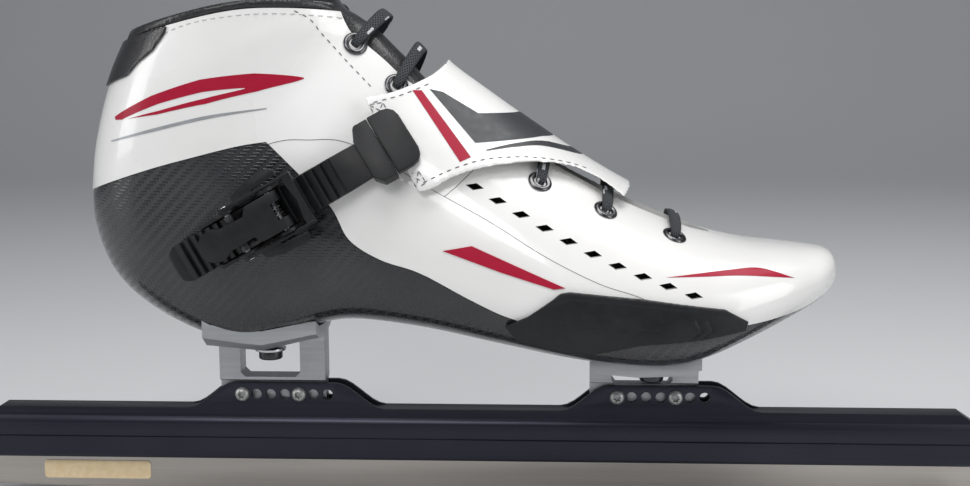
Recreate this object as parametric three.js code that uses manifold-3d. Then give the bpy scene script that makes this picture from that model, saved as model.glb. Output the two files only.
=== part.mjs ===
// A right-foot speed skate with a fixed blade: carbon boot, instep strap with a ratchet buckle,
// two mounting cups, a flanged blade tube and the steel blade.
// Millimetres, +Z up, +X to the toe, -Y to the outer side of the foot, Z = 0 at the ice.
import * as THREE from 'three';
import { ParametricGeometry } from 'three/addons/geometries/ParametricGeometry.js';
import { mergeVertices } from 'three/addons/utils/BufferGeometryUtils.js';
import Module from 'manifold-3d';

const wasm = await Module();
wasm.setup();

// ---------------------------------------------------------------- driving dimensions
const gap = 0.3; // clearance left between two pieces that touch

// blade and tube
const bladeLength = 419;
const bladeThickness = 1.25;
const bladeTop = 24.4;
const rockerRadius = 10000;
const tubeLength = 413;
const tubeBottom = 15.8;
const tubeTop = 37.5;
const tubeWidth = 13;
const tubeNeckWidth = 10.6;
const tubeEndDrop = 4; // height of the sloped corner at each end
const tubeEndRun = 6;
const slotWidth = 6.6; // between the two plates of a flange
const flangeTop = 48.4;
const flangeLength = 43; // along its level top
const flangeRamp = 20; // length of the slope at each end of a flange
const flangeSpacing = 156.6; // between the middles of the two rows of holes
const holePitch = 6;
const holeCount = 7;
const holeHeight = 43.6;
const screwShank = 3.8;
const screwHead = 6.2;

// cups
const cupLength = 44.6;
const cupWidth = 42;
const platformThickness = 5.4;
const rearCupShift = 1; // middle of the cup from the middle of its two screws
const frontCupShift = -1;
const boltShank = 6;
const boltHead = 10;
const boltHeadHeight = 3.4;
const washerThickness = 1.2;
const insertThickness = 2;
const slotReach = 5; // the bolt slot from its middle to the middle of each end
const washerRoom = 7;
const seatDepth = 0.4; // the washer sits in a flat cut into the saddle

// boot
const shellWall = 2.2;
const upperWall = 1.9;
const linerWall = 2.2;
const footbedThickness = 3;
const collarPad = 5.4;
const tongueThickness = 3;
const laceDiameter = 2.2;
const eyeletBore = 5;
const eyeletRim = 9.4;
const bumperThickness = 2;
const heelTabThickness = 1.4;

// strap and buckle, laid out along the strap from the rear pin
const strapThickness = 1.8;
const strapLift = 4.1; // extra room over the laces
const ladderAngle = THREE.MathUtils.degToRad(29.2);
const ladderWidth = 15.5;
const ladderThickness = 1.6;
const toothPitch = 3.5;
const toothHeight = 1.3;
const ladderRadius = 225; // the ladder curves round the ankle
const ladderTail = -32;
const teethEnd = 35;
const ladderEnd = 58;
const ladderFloor = -45.4; // Y of the ladder's inner face where it passes the buckle
const frontPin = 17.3; // from the rear pin
const pinDiameter = 2.6;
const pinHeight = 7; // of both pins over the ladder's inner face
const earThickness = 1.3;
const leverDisc = 12.8;
const rivetShank = 3.2;

// ---------------------------------------------------------------- materials
const paint = (color, roughness, metalness = 0) =>
  new THREE.MeshStandardMaterial({ color, roughness, metalness });
const carbon = paint(0x17181a, 0.25);
const whiteUpper = paint(0xecebe8, 0.3);
const blackLeather = paint(0x141414, 0.45);
const blackFoam = paint(0x1d1d1f, 0.9);
const blackPlastic = paint(0x1b1c1e, 0.4);
const anodised = paint(0x26262e, 0.35, 0.8);
const bladeSteel = paint(0x857b72, 0.35, 1);
const castAlloy = paint(0xa9acb0, 0.5, 0.9);
const brightSteel = paint(0xb9bbbd, 0.25, 1);
const darkSteel = paint(0x3a3b3e, 0.3, 1);
const cream = paint(0xe9cf9c, 0.5);
const laceCloth = paint(0x2a2c30, 0.9);

// ---------------------------------------------------------------- solids
// A closed three.js geometry as a solid for joining and cutting.
function solid(geometry) {
  const bare = geometry.clone();
  bare.deleteAttribute('normal');
  bare.deleteAttribute('uv');
  const merged = mergeVertices(bare, 1e-4);
  const index = merged.index.array;
  const kept = [];
  for (let i = 0; i < index.length; i += 3) {
    const [a, b, c] = index.subarray(i, i + 3);
    if (a !== b && b !== c && c !== a) kept.push(a, b, c);
  }
  return new wasm.Manifold(new wasm.Mesh({
    numProp: 3,
    vertProperties: new Float32Array(merged.attributes.position.array),
    triVerts: new Uint32Array(kept),
  }));
}

function geometryOf(body) {
  const mesh = body.getMesh();
  const geometry = new THREE.BufferGeometry();
  geometry.setAttribute('position', new THREE.BufferAttribute(mesh.vertProperties, 3));
  geometry.setIndex(new THREE.BufferAttribute(mesh.triVerts, 1));
  geometry.computeVertexNormals();
  return geometry;
}

const skate = new THREE.Group();
function place(name, shape, material, parent = skate) {
  const geometry = shape.isBufferGeometry ? shape : geometryOf(shape);
  const mesh = new THREE.Mesh(geometry, material);
  mesh.name = name;
  parent.add(mesh);
  return mesh;
}

const join = (...bodies) => bodies.reduce((all, body) => all.add(body));
const without = (body, ...tools) => tools.reduce((rest, tool) => rest.subtract(tool), body);

// Prisms of an outline: [x, z] extruded along Y, [y, z] along X, and [x, y] along Z.
const shapeOf = (outline) => new THREE.Shape(outline.map(([a, b]) => new THREE.Vector2(a, b)));
function extruded(outline, length, holes = []) {
  const shape = shapeOf(outline);
  shape.holes = holes.map(shapeOf);
  return new THREE.ExtrudeGeometry(shape, { depth: length, bevelEnabled: false });
}
const sidePrism = (outline, y0 = -100, y1 = 100) =>
  extruded(outline, y1 - y0).rotateX(Math.PI / 2).translate(0, y1, 0);
const planPrism = (outline, z0, z1) => extruded(outline, z1 - z0).translate(0, 0, z0);
function frontPrism(outline, x0, x1, holes) {
  const turn = new THREE.Matrix4().makeBasis(
    new THREE.Vector3(0, 1, 0), new THREE.Vector3(0, 0, 1), new THREE.Vector3(1, 0, 0));
  return extruded(outline, x1 - x0, holes).applyMatrix4(turn).translate(x0, 0, 0);
}

function box(x0, x1, y0, y1, z0, z1) {
  return new THREE.BoxGeometry(x1 - x0, y1 - y0, z1 - z0)
    .translate((x0 + x1) / 2, (y0 + y1) / 2, (z0 + z1) / 2);
}

// A cylinder from one point along an axis, 'x', 'y' or 'z'.
function rod(axis, diameter, start, length, sides = 16) {
  const geometry = new THREE.CylinderGeometry(diameter / 2, diameter / 2, length, sides);
  geometry.translate(0, length / 2, 0);
  if (axis === 'x') geometry.rotateZ(-Math.PI / 2);
  if (axis === 'z') geometry.rotateX(Math.PI / 2);
  return geometry.translate(...start);
}

const lathe = (profile, sides = 16) =>
  new THREE.LatheGeometry(profile.map(([r, h]) => new THREE.Vector2(r, h)), sides);

// ---------------------------------------------------------------- boot form
// Sections fan out from the toe to the collar. Each has the sole point and the instep point of
// its plane in side view, its middle in Y, its outer and inner half width, how far up its widest
// place is, and how square its lower and upper halves are.
const sections = [
  { sole: [148.6, 96.5], instep: [148.6, 97.5], y: 4, outer: 0.2, inner: 0.2, wide: 0.5, low: 2, high: 2 },
  { sole: [147.4, 92], instep: [147.6, 102], y: 4, outer: 11, inner: 11, wide: 0.5, low: 2, high: 2 },
  { sole: [144.6, 88], instep: [145.2, 104.4], y: 4, outer: 18.5, inner: 18, wide: 0.5, low: 2.2, high: 2.1 },
  { sole: [138.5, 83.6], instep: [139.5, 105.8], y: 3, outer: 26, inner: 25, wide: 0.46, low: 2.3,
    high: 2.2 },
  { sole: [127, 78.2], instep: [127.5, 107.2], y: 2, outer: 34, inner: 33.5, wide: 0.42, low: 2.5,
    high: 2.3 },
  { sole: [111, 70.6], instep: [112, 108.9], y: 1, outer: 42.5, inner: 41, wide: 0.4, low: 2.5, high: 2.3 },
  { sole: [95, 63.6], instep: [97, 112.2], y: 0, outer: 48.5, inner: 45.5, wide: 0.38, low: 2.4, high: 2.2 },
  { sole: [80, 60.2], instep: [81, 118], y: -1, outer: 52, inner: 47, wide: 0.36, low: 2.4, high: 2.1 },
  { sole: [60, 60.8], instep: [61, 127.5], y: -2, outer: 53, inner: 46.5, wide: 0.34, low: 2.4, high: 2 },
  { sole: [37, 63.8], instep: [41, 139.4], y: -3, outer: 51.5, inner: 44, wide: 0.33, low: 2.4, high: 1.9 },
  { sole: [10, 69], instep: [20.9, 152.9], y: -4, outer: 47, inner: 40, wide: 0.33, low: 2.4, high: 1.85 },
  { sole: [-20, 74.6], instep: [3.2, 165.4], y: -4, outer: 42, inner: 37, wide: 0.34, low: 2.4, high: 1.85 },
  { sole: [-50, 77], instep: [-11, 176], y: -4, outer: 38.5, inner: 35.5, wide: 0.36, low: 2.3, high: 1.9 },
  { sole: [-74, 71.4], instep: [-20, 185.5], y: -4, outer: 37, inner: 35, wide: 0.38, low: 2.3, high: 1.9 },
  { sole: [-98, 67.6], instep: [-27, 192.5], y: -4, outer: 36.5, inner: 34.5, wide: 0.4, low: 2.3, high: 2 },
  { sole: [-125, 77.4], instep: [-32.5, 198], y: -4, outer: 36.5, inner: 34.5, wide: 0.42, low: 2.2,
    high: 2 },
  { sole: [-145.3, 93.8], instep: [-37, 201.5], y: -4, outer: 36.5, inner: 34.5, wide: 0.44, low: 2.1,
    high: 2 },
  { sole: [-154.4, 116], instep: [-40.5, 203.8], y: -4, outer: 36.5, inner: 34.5, wide: 0.46, low: 2.1,
    high: 2.1 },
  { sole: [-154, 139], instep: [-43, 205.5], y: -4, outer: 36.5, inner: 35, wide: 0.47, low: 2.1, high: 2.2 },
  { sole: [-150.2, 159], instep: [-45, 206.5], y: -4, outer: 36.5, inner: 35.5, wide: 0.48, low: 2.1,
    high: 2.2 },
  { sole: [-144.2, 177.5], instep: [-46.5, 207.5], y: -4, outer: 36, inner: 35.5, wide: 0.48, low: 2.1,
    high: 2.2 },
  { sole: [-135.6, 196], instep: [-48, 210], y: -4, outer: 35.5, inner: 35.5, wide: 0.48, low: 2.1,
    high: 2.2 },
  { sole: [-132.5, 208], instep: [-49, 218], y: -4, outer: 35.5, inner: 35.5, wide: 0.48, low: 2.1,
    high: 2.2 },
];
const lastSection = sections.length - 1;

function blend(get, s) {
  const i = Math.min(Math.floor(s), lastSection - 1);
  const t = s - i;
  const p = [i - 1, i, i + 1, i + 2].map((k) => get(sections[Math.min(Math.max(k, 0), lastSection)]));
  return 0.5 * (2 * p[1] + (p[2] - p[0]) * t + (2 * p[0] - 5 * p[1] + 4 * p[2] - p[3]) * t * t
    + (3 * p[1] - p[0] - 3 * p[2] + p[3]) * t ** 3);
}

// A point of the boot's outside: s runs from the toe (0) to the collar (lastSection), and turn
// runs from the sole (0) up the outer side (a quarter), over the instep (a half) and back.
function bootPoint(s, turn) {
  const up = -Math.cos(turn * 2 * Math.PI);
  const side = Math.sin(turn * 2 * Math.PI);
  const wide = blend((k) => k.wide, s);
  const power = 2 / (up < 0 ? blend((k) => k.low, s) : blend((k) => k.high, s));
  const rise = Math.sign(up) * Math.abs(up) ** power;
  const reach = Math.abs(side) ** power;
  const share = up < 0 ? wide * (1 + rise) : wide + (1 - wide) * rise;
  const sole = [0, 1].map((n) => blend((k) => k.sole[n], s));
  const instep = [0, 1].map((n) => blend((k) => k.instep[n], s));
  const half = side > 0 ? -blend((k) => k.outer, s) : blend((k) => k.inner, s);
  return new THREE.Vector3(
    sole[0] + (instep[0] - sole[0]) * share,
    blend((k) => k.y, s) + half * reach,
    sole[1] + (instep[1] - sole[1]) * share);
}

function bootNormal(s, turn) {
  const step = 1e-3;
  const low = Math.max(s - step, 0);
  const high = Math.min(s + step, lastSection);
  const along = bootPoint(high, turn).sub(bootPoint(low, turn));
  const round = bootPoint(s, turn + step).sub(bootPoint(s, turn - step));
  return round.cross(along).normalize();
}

// The point that lies a distance out from the skin; a negative distance is inside.
const onBoot = (s, turn, out = 0) => bootPoint(s, turn).addScaledVector(bootNormal(s, turn), out);

// The whole boot form, grown or shrunk by a distance, as one closed solid.
function bootForm(out, rows = 28, around = 22) {
  const distance = typeof out === 'function' ? out : () => out;
  const ring = (row) => ((row - 1) / (rows - 2)) * lastSection;
  const skin = (turn, part, target) => {
    const row = Math.round(part * rows);
    if (row === 0 || row === rows) {
      const s = row === 0 ? 0 : lastSection;
      target.copy(onBoot(s, 0, distance(0))).add(onBoot(s, 0.5, distance(0.5))).multiplyScalar(0.5);
    } else {
      target.copy(onBoot(ring(row), turn % 1, distance(turn % 1)));
    }
  };
  const form = solid(new ParametricGeometry(skin, around, rows));
  return form;
}

// Soft layers inside the boot are plainer.
const innerForm = (out) => bootForm(out, 18, 16);

// The place on the skin that is seen at [x, z] from one side, as { s, turn }.
function seenAt([x, z], outerSide = true) {
  let best = { miss: Infinity };
  let [s, turn, reach] = [lastSection / 2, 0.25, 0.5];
  for (let round = 0; round < 9; round += 1) {
    for (let i = -8; i <= 8; i += 1) {
      for (let j = -8; j <= 8; j += 1) {
        const a = THREE.MathUtils.clamp(s + (i / 8) * reach * lastSection, 0, lastSection);
        const b = THREE.MathUtils.clamp(turn + (j / 8) * reach * 0.5, 0.01, 0.49);
        const p = bootPoint(a, outerSide ? b : 1 - b);
        const miss = Math.hypot(p.x - x, p.z - z);
        if (miss < best.miss) best = { miss, s: a, turn: b };
      }
    }
    [s, turn, reach] = [best.s, best.turn, reach * 0.4];
  }
  return { s, turn: outerSide ? turn : 1 - turn };
}

// Puts a shape that stands along +Y from the origin onto the skin, pointing out of it.
function standOn(geometry, { s, turn }, out = 0) {
  const pose = new THREE.Quaternion().setFromUnitVectors(new THREE.Vector3(0, 1, 0), bootNormal(s, turn));
  return geometry.applyQuaternion(pose).translate(...onBoot(s, turn, out).toArray());
}

// ---------------------------------------------------------------- trim lines in side view
const curve = (...points) => new THREE.SplineCurve(points.map(([x, z]) => new THREE.Vector2(x, z)));
function sampled(...curves) {
  const points = [];
  for (const part of curves) {
    for (const p of part.getPoints((part.points.length - 1) * 2)) points.push([p.x, p.y]);
  }
  return points.filter(([x, z], i) => i === 0 || Math.hypot(x - points[i - 1][0],
    z - points[i - 1][1]) > 0.01);
}
// A line moved sideways: a positive distance moves a line that runs to the toe upwards.
function moved(line, distance) {
  return line.map(([x, z], i) => {
    const [x0, z0] = line[Math.max(i - 1, 0)];
    const [x1, z1] = line[Math.min(i + 1, line.length - 1)];
    const size = Math.hypot(x1 - x0, z1 - z0);
    return [x - (distance * (z1 - z0)) / size, z + (distance * (x1 - x0)) / size];
  });
}
const far = 400;
const high = 900;
const above = (line) => solid(sidePrism([...moved(line, gap / 2), [far, high], [-far, high]]));
const below = (line) => solid(sidePrism([...moved(line, -gap / 2), [far, -high], [-far, -high]]));

const carbonTrim = [[-far, 70], ...sampled(
  curve([-170, 124], [-147.7, 132.8], [-124, 140.6], [-105.2, 145.7], [-88, 149.9], [-76.4, 151.7]),
  curve([-76.4, 151.7], [-64.1, 139.4], [-51.4, 126.3], [-44.5, 114], [-32.3, 106.4], [-16.6, 101.5],
    [2.8, 91.8], [18.9, 84.9], [42, 80], [78, 79], [109, 81.5], [123.2, 83.3], [136, 86.6], [150, 94.5])),
      [far, 240]];
const seam = [[-far, 60], ...sampled(curve([-110, 136], [-76.4, 150.6], [-60, 152.4], [-43, 150.4],
  [-12.1, 133.4],
  [10.9, 121.3], [31.5, 109], [51.9, 99.1], [68.4, 93.5], [90, 83], [112, 72])), [far, -60]];
const ankleSplit = [[-far, -110], ...sampled(curve([-36, 110], [3, 140], [24, 175])), [far, 700]];
const collarTrim = [[-far, 60], ...sampled(curve([-140, 190], [-109.6, 197.8], [-87.7, 202.2], [-70, 203],
  [-52.8, 202.1], [-39.4, 200.2])), [far, 130]];
const collarRim = moved(collarTrim, 3.4);
const padBottom = [[-far, 60], ...sampled(curve([-150, 168], [-80, 176], [-20, 168])), [far, 60]];

// The open throat in plan view, and the wider place that the tongue fills under the facings.
const throatEnd = 97;
const throat = [[throatEnd, -4], [throatEnd, 0], [throatEnd - 8, 7], [60, 11], [20, 13], [-20, 14], [-62, 15],
  [-62, -23], [-20, -22], [20, -19], [60, -15], [throatEnd - 8, -9]];
const tongueSpread = 20;
const tonguePlan = throat.map(([x, y]) => [x + (x > 60 ? tongueSpread / 2 : 0),
  y + (y > -3 ? tongueSpread : -tongueSpread)]);
const throatCut = solid(planPrism(throat, 80, 260));

// ---------------------------------------------------------------- blade and tube
function bladeOutline() {
  const points = [];
  const facets = 13;
  for (let i = 0; i <= facets; i += 1) {
    const x = bladeLength * (i / facets - 0.5);
    points.push([x, (x * x) / (2 * rockerRadius)]);
  }
  const lowest = points[(facets - 1) / 2][1];
  for (const point of points) point[1] -= lowest;
  const end = bladeLength / 2;
  const corner = 5;
  points[0] = [-end + corner, points[0][1]];
  points[facets] = [end - corner, points[facets][1]];
  const lift = points[0][1] + corner;
  return [...points, [end - corner / 4, lift - corner / 2], [end, lift], [end, tubeBottom - 1],
    [end - 6, bladeTop], [6 - end, bladeTop], [-end, tubeBottom - 1], [-end, lift],
    [corner / 4 - end, lift - corner / 2]];
}
place('blade_steel', sidePrism(bladeOutline(), -bladeThickness / 2, bladeThickness / 2), bladeSteel);

const labelFront = -137.8;
const labelLength = 46.2;
const labelBottom = 5;
const labelTop = 12.8;
place('blade_label', box(labelFront - labelLength, labelFront, -bladeThickness / 2 - 0.3,
  -bladeThickness / 2 - 0.1, labelBottom, labelTop), cream);

const tubeSection = () => {
  const half = tubeWidth / 2;
  const neck = tubeNeckWidth / 2;
  const groove = bladeThickness / 2 + gap;
  const right = [[groove, bladeTop + gap], [groove, tubeBottom], [half - 0.8, tubeBottom],
    [half, tubeBottom + 1.2],
    [half, 24.8], [half - 0.4, 25.1], [half, 25.4], [half, 31], [half - 0.4, 32.4], [neck, 33.6],
      [neck, tubeTop]];
  return [...right, ...right.map(([y, z]) => [-y, z]).reverse()];
};
const passage = [[-2.6, 27.5], [2.6, 27.5], [3.4, 28.5], [3.4, 32.5], [2.6, 33.5], [-2.6, 33.5],
  [-3.4, 32.5], [-3.4, 28.5]];

function flangeOutline(middle) {
  const top = flangeLength / 2;
  const steps = 7;
  const ramp = Array.from({ length: steps + 1 }, (_, i) => [top + (flangeRamp * i) / steps,
    flangeTop - (flangeTop - tubeTop) * THREE.MathUtils.smoothstep(i / steps, 0, 1)]);
  const side = [...ramp, [top + flangeRamp, tubeTop - 1]];
  return side.map(([x, z]) => [middle + x, z]).reverse()
    .concat(side.map(([x, z]) => [middle - x, z]));
}
const holesAt = (middle) =>
  Array.from({ length: holeCount }, (_, i) => middle + (i - (holeCount - 1) / 2) * holePitch);
const rearRow = holesAt(-flangeSpacing / 2);
const frontRow = holesAt(flangeSpacing / 2);
const rearScrews = [rearRow[0], rearRow[4]];
const frontScrews = [frontRow[0], frontRow[4]];

function tube() {
  const half = tubeLength / 2;
  let body = solid(frontPrism(tubeSection(), -half, half, [passage]));
  for (const end of [-1, 1]) {
    const corner = [[end * half, tubeTop - tubeEndDrop], [end * (half - tubeEndRun), tubeTop],
      [end * (half - tubeEndRun), tubeTop + 5], [end * (half + 5), tubeTop + 5],
        [end * (half + 5), tubeTop - tubeEndDrop]];
    body = body.subtract(solid(sidePrism(end > 0 ? corner : corner.reverse())));
  }
  for (const middle of [-flangeSpacing / 2, flangeSpacing / 2]) {
    for (const [y0, y1] of [[-tubeNeckWidth / 2, -slotWidth / 2], [slotWidth / 2, tubeNeckWidth / 2]]) {
      body = body.add(solid(sidePrism(flangeOutline(middle).reverse(), y0, y1)));
    }
  }
  for (const x of [...rearRow, ...frontRow]) {
    body = body.subtract(solid(rod('y', screwShank + 2 * gap, [x, -20, holeHeight], 40, 14)));
  }
  return body;
}
place('blade_tube', tube(), anodised);

// ---------------------------------------------------------------- cups and their fasteners
// A cup is an upright frame with a window, a thin tongue between the flange plates, and a saddle
// on top that follows the sole.
function cup({ middle, screws, sole, windowBox, bolt, left }) {
  const half = cupLength / 2;
  const outline = [[middle - half, tubeTop + gap], [middle + half, tubeTop + gap],
    [middle + half, sole + 30], [middle - half, sole + 30]];
  const tongueHalf = slotWidth / 2 - gap;
  const plateHalf = tubeNeckWidth / 2;
  const plateFoot = flangeTop + 0.6;
  const profile = [[tongueHalf, tubeTop + gap], [tongueHalf, plateFoot], [plateHalf, plateFoot + 0.8],
    [plateHalf, sole + 30], [-plateHalf, sole + 30], [-plateHalf, plateFoot + 0.8],
    [-tongueHalf, plateFoot], [-tongueHalf, tubeTop + gap]];
  const [x0, x1, z0, z1] = windowBox;
  const over = sole + 25;
  const opening = sidePrism([[x0, z0 + 2], [x0 + 2, z0], [x1 - 2, z0], [x1, z0 + 2], [x1, over],
    [x0, over]]);
  const plate = solid(sidePrism(outline, -60, 60))
    .intersect(solid(frontPrism(profile, middle - 60, middle + 60)))
    .subtract(solid(opening));
  const saddle = bootForm(platformThickness).intersect(solid(box(middle - half - left, middle + half,
    bolt.y - cupWidth / 2, bolt.y + cupWidth / 2, sole - platformThickness - 1, sole + 14)));
  const slotBottom = sole - 3 * platformThickness;
  const slotHalf = boltShank / 2 + gap;
  const slot = join(
    solid(rod('z', 2 * slotHalf, [bolt.x, bolt.y - slotReach, slotBottom], 60)),
    solid(rod('z', 2 * slotHalf, [bolt.x, bolt.y + slotReach, slotBottom], 60)),
    solid(box(bolt.x - slotHalf, bolt.x + slotHalf, bolt.y - slotReach, bolt.y + slotReach,
      slotBottom, sole + 40)));
  const washerFlat = solid(box(bolt.x - washerRoom, bolt.x + washerRoom,
    bolt.y - washerRoom, bolt.y + washerRoom, z0 + 2, sole - platformThickness + seatDepth));
  const upper = solid(box(-200, 200, -60, 60, z1 - 4, 120));
  let body = join(plate, saddle);
  body = without(body, bootForm(gap), slot.intersect(upper), washerFlat);
  for (const x of screws) {
    body = body.subtract(solid(rod('y', screwShank + 2 * gap, [x, -30, holeHeight], 60, 12)));
  }
  return body;
}

const soleUnder = (x) => {
  let low = Infinity;
  for (let s = 4; s < 17; s += 0.01) {
    const p = bootPoint(s, 0);
    if (Math.abs(p.x - x) < 0.6) low = Math.min(low, p.z);
  }
  return low;
};

const cups = [
  { name: 'rear_cup', middle: (rearScrews[0] + rearScrews[1]) / 2 + rearCupShift, screws: rearScrews, left: 2,
    bolt: { x: -84, y: -4 } },
  { name: 'front_cup', middle: (frontScrews[0] + frontScrews[1]) / 2 + frontCupShift, screws: frontScrews,
    left: 0,
    bolt: { x: 74.5, y: -1 } },
];
const fastenerCuts = [];
cups.forEach((item, n) => {
  const end = n === 0 ? 'rear' : 'front';
  const { bolt } = item;
  const sole = soleUnder(bolt.x);
  const underside = sole - platformThickness + seatDepth;
  const windowBox = n === 0
    ? [item.middle - 13.4, item.middle + 11.7, flangeTop + 2.6, underside]
    : [item.middle - 13.4, item.middle + 11.7, flangeTop + 0.3, underside];
  place(item.name, cup({ ...item, sole, windowBox }), castAlloy);
  const washerTop = underside - gap;
  place(`${end}_cup_washer`, without(
    solid(rod('z', boltHead + 3, [bolt.x, bolt.y, washerTop - washerThickness], washerThickness, 20)),
    solid(rod('z', boltShank + gap * 2, [bolt.x, bolt.y, washerTop - 3], 6))), brightSteel);
  const headTop = washerTop - washerThickness - gap;
  const shankTop = sole + shellWall + insertThickness + 0.6;
  const profile = [[0, -boltHeadHeight + 2], [1.9, -boltHeadHeight + 2], [1.9, -boltHeadHeight],
    [boltHead / 2 - 0.6, -boltHeadHeight],
    [boltHead / 2, 0.6 - boltHeadHeight], [boltHead / 2, 0], [boltShank / 2, 0],
      [boltShank / 2, shankTop - headTop], [0, shankTop - headTop]];
  place(`${end}_cup_bolt`, lathe(profile).rotateX(Math.PI / 2).translate(bolt.x, bolt.y, headTop), darkSteel);
  fastenerCuts.push(solid(rod('z', boltShank + 2 * gap, [bolt.x, bolt.y, sole - 10], 30)));
  const plate = (grow) => box(bolt.x - 15 - grow, bolt.x + 15 + grow, bolt.y - 9 - grow,
    bolt.y + 9 + grow, sole - 5, sole + 12);
  const insertSkin = -shellWall - gap;
  const insert = bootForm(insertSkin).subtract(bootForm(insertSkin - insertThickness));
  place(`${end}_sole_insert`, without(insert.intersect(solid(plate(0))), fastenerCuts[n]), brightSteel);
  item.pocket = solid(plate(gap));
});

// Button-head screws from the outer side, each with its round nut on the inner side as one piece.
const plateFace = tubeNeckWidth / 2 + gap;
const nutThickness = 1.9;
[...rearScrews, ...frontScrews].forEach((x, i) => {
  const bore = screwShank / 2;
  const edge = screwHead / 2;
  const profile = [[0, plateFace + 0.9], [1.5, plateFace + 0.9], [1.5, plateFace + 1.9],
    [edge - 0.9, plateFace + 1.9],
    [edge - 0.2, plateFace + 1], [edge, plateFace], [bore, plateFace], [bore, -plateFace], [edge, -plateFace],
    [edge, -plateFace - nutThickness + 0.7], [edge - 0.7, -plateFace - nutThickness],
      [0, -plateFace - nutThickness]];
  place(`tube_screw_${i + 1}`, lathe(profile.reverse(), 10).rotateX(Math.PI)
    .translate(x, 0, holeHeight), brightSteel);
});

// ---------------------------------------------------------------- strap coordinates
// Along the ladder from the rear pin, out from the ladder's inner face, and across to the sole.
const rearPinAt = new THREE.Vector3(-85.4, ladderFloor, 118);
const alongStrap = new THREE.Vector3(Math.cos(ladderAngle), 0, Math.sin(ladderAngle));
const acrossStrap = new THREE.Vector3(Math.sin(ladderAngle), 0, -Math.cos(ladderAngle));
const strapPose = new THREE.Matrix4()
  .makeBasis(alongStrap, new THREE.Vector3(0, -1, 0), acrossStrap).setPosition(rearPinAt);
const inStrap = (geometry) => geometry.applyMatrix4(strapPose);

// The ladder runs on an arc round the ankle and twists to lie flat on the instep.
const arcMiddle = 15;
const twistStart = 36;
const twistEnd = 58;
const twist = THREE.MathUtils.degToRad(18);
function bent(geometry) {
  const at = geometry.attributes.position;
  for (let i = 0; i < at.count; i += 1) {
    const turn = twist * THREE.MathUtils.smoothstep(at.getX(i), twistStart, twistEnd);
    const out = at.getY(i) * Math.cos(turn) + at.getZ(i) * Math.sin(turn);
    const across = at.getZ(i) * Math.cos(turn) - at.getY(i) * Math.sin(turn);
    const angle = (at.getX(i) - arcMiddle) / ladderRadius;
    at.setXYZ(i, arcMiddle + (ladderRadius + out) * Math.sin(angle),
      (ladderRadius + out) * Math.cos(angle) - ladderRadius, across);
  }
  return geometry;
}
// Prisms in strap coordinates: a side outline [along, out] and a plan outline [along, across].
const strapSide = (outline, half) => extruded(outline, 2 * half).translate(0, 0, -half);
const strapPlan = (outline, low, high) => extruded(outline.map(([a, b]) => [a, -b]), high - low)
  .rotateX(-Math.PI / 2).translate(0, low, 0);
const strapRod = (diameter, along, out, half, sides = 16) =>
  rod('z', diameter, [along, out, -half], 2 * half, sides);
function roundedEnd(x0, x1, half, radius, steps = 3) {
  const arc = (cx, cy, from) => Array.from({ length: steps + 1 }, (_, i) => {
    const a = from + ((i / steps) * Math.PI) / 2;
    return [cx + radius * Math.cos(a), cy + radius * Math.sin(a)];
  });
  return [[x0, -half], ...arc(x1 - radius, radius - half, -Math.PI / 2),
    ...arc(x1 - radius, half - radius, 0), [x0, half]];
}

// ---------------------------------------------------------------- buckle on the shell
const floorTop = -0.5;
const floorBottom = -4.2;
const sag = (along) => ladderRadius - Math.sqrt(ladderRadius ** 2 - (along - arcMiddle) ** 2);
const earInside = ladderWidth / 2 + gap + 0.1;
const earOutside = earInside + earThickness;
const leverHalf = earInside - gap - 0.3;
const rivetPlaces = [-8, 11];
const strapSolid = (geometry) => solid(inStrap(geometry));
const bootOut = bootForm(gap);
const shellInner = bootForm(-shellWall);

const rivets = rivetPlaces.map((along) => {
  const headTop = floorTop - gap - sag(along);
  const shank = strapSolid(rod('y', rivetShank, [along, -16, 0], 16 + headTop, 12));
  const head = strapSolid(rod('y', rivetShank + 3, [along, headTop - 0.9, 0], 0.9, 16));
  const tail = strapSolid(rod('y', rivetShank + 3, [along, -16, 0], 14, 16))
    .intersect(bootForm(-shellWall - gap)).subtract(bootForm(-shellWall - gap - 1));
  return join(head, shank.subtract(bootForm(-shellWall - gap - 1)), tail);
});
const rivetHoles = rivetPlaces.map((along) =>
  strapSolid(rod('y', rivetShank + 2 * gap, [along, -16, 0], 20, 12)));
const headRooms = rivetPlaces.map((along) =>
  strapSolid(rod('y', rivetShank + 3 + 2 * gap, [along, floorTop - sag(along) - 1.5, 0], 5, 16)));
rivets.forEach((body, i) => place(`buckle_rivet_${i + 1}`, body, darkSteel));

const earOutline = [[-14, floorBottom], [22, floorBottom], [22, 2], [20.6, 8.6], [19, 9.8], [15.6, 9.8],
  [13.6, 8],
  [10, 3.4], [5, 3.4], [3.2, 8.4], [1.6, 9.8], [-1.6, 9.8], [-3.4, 8.2], [-7, 2], [-14, 0.6]];
function buckleBase() {
  const ears = strapSide(earOutline, earOutside);
  const channel = new THREE.BoxGeometry(60, 24, 2 * earInside, 12, 1, 1).translate(5, 12 + floorTop, 0);
  const pad = strapPlan(roundedEnd(-12, 20, 8, 3), -14, floorBottom + 0.5);
  return without(join(strapSolid(ears), strapSolid(pad)).subtract(strapSolid(bent(channel))), bootOut,
    ...rivetHoles, ...headRooms,
    strapSolid(strapRod(pinDiameter + 2 * gap, 0, pinHeight, 20)),
    strapSolid(strapRod(pinDiameter + 2 * gap, frontPin, pinHeight, 20)));
}
place('buckle_base', buckleBase(), blackPlastic);

const armInside = earOutside + gap;
const armOutside = armInside + 1.3;
place('rear_pin', inStrap(strapRod(pinDiameter, 0, pinHeight, armOutside + 0.3)), brightSteel);
place('front_pin', inStrap(strapRod(pinDiameter, frontPin, pinHeight, earOutside)), brightSteel);

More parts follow.
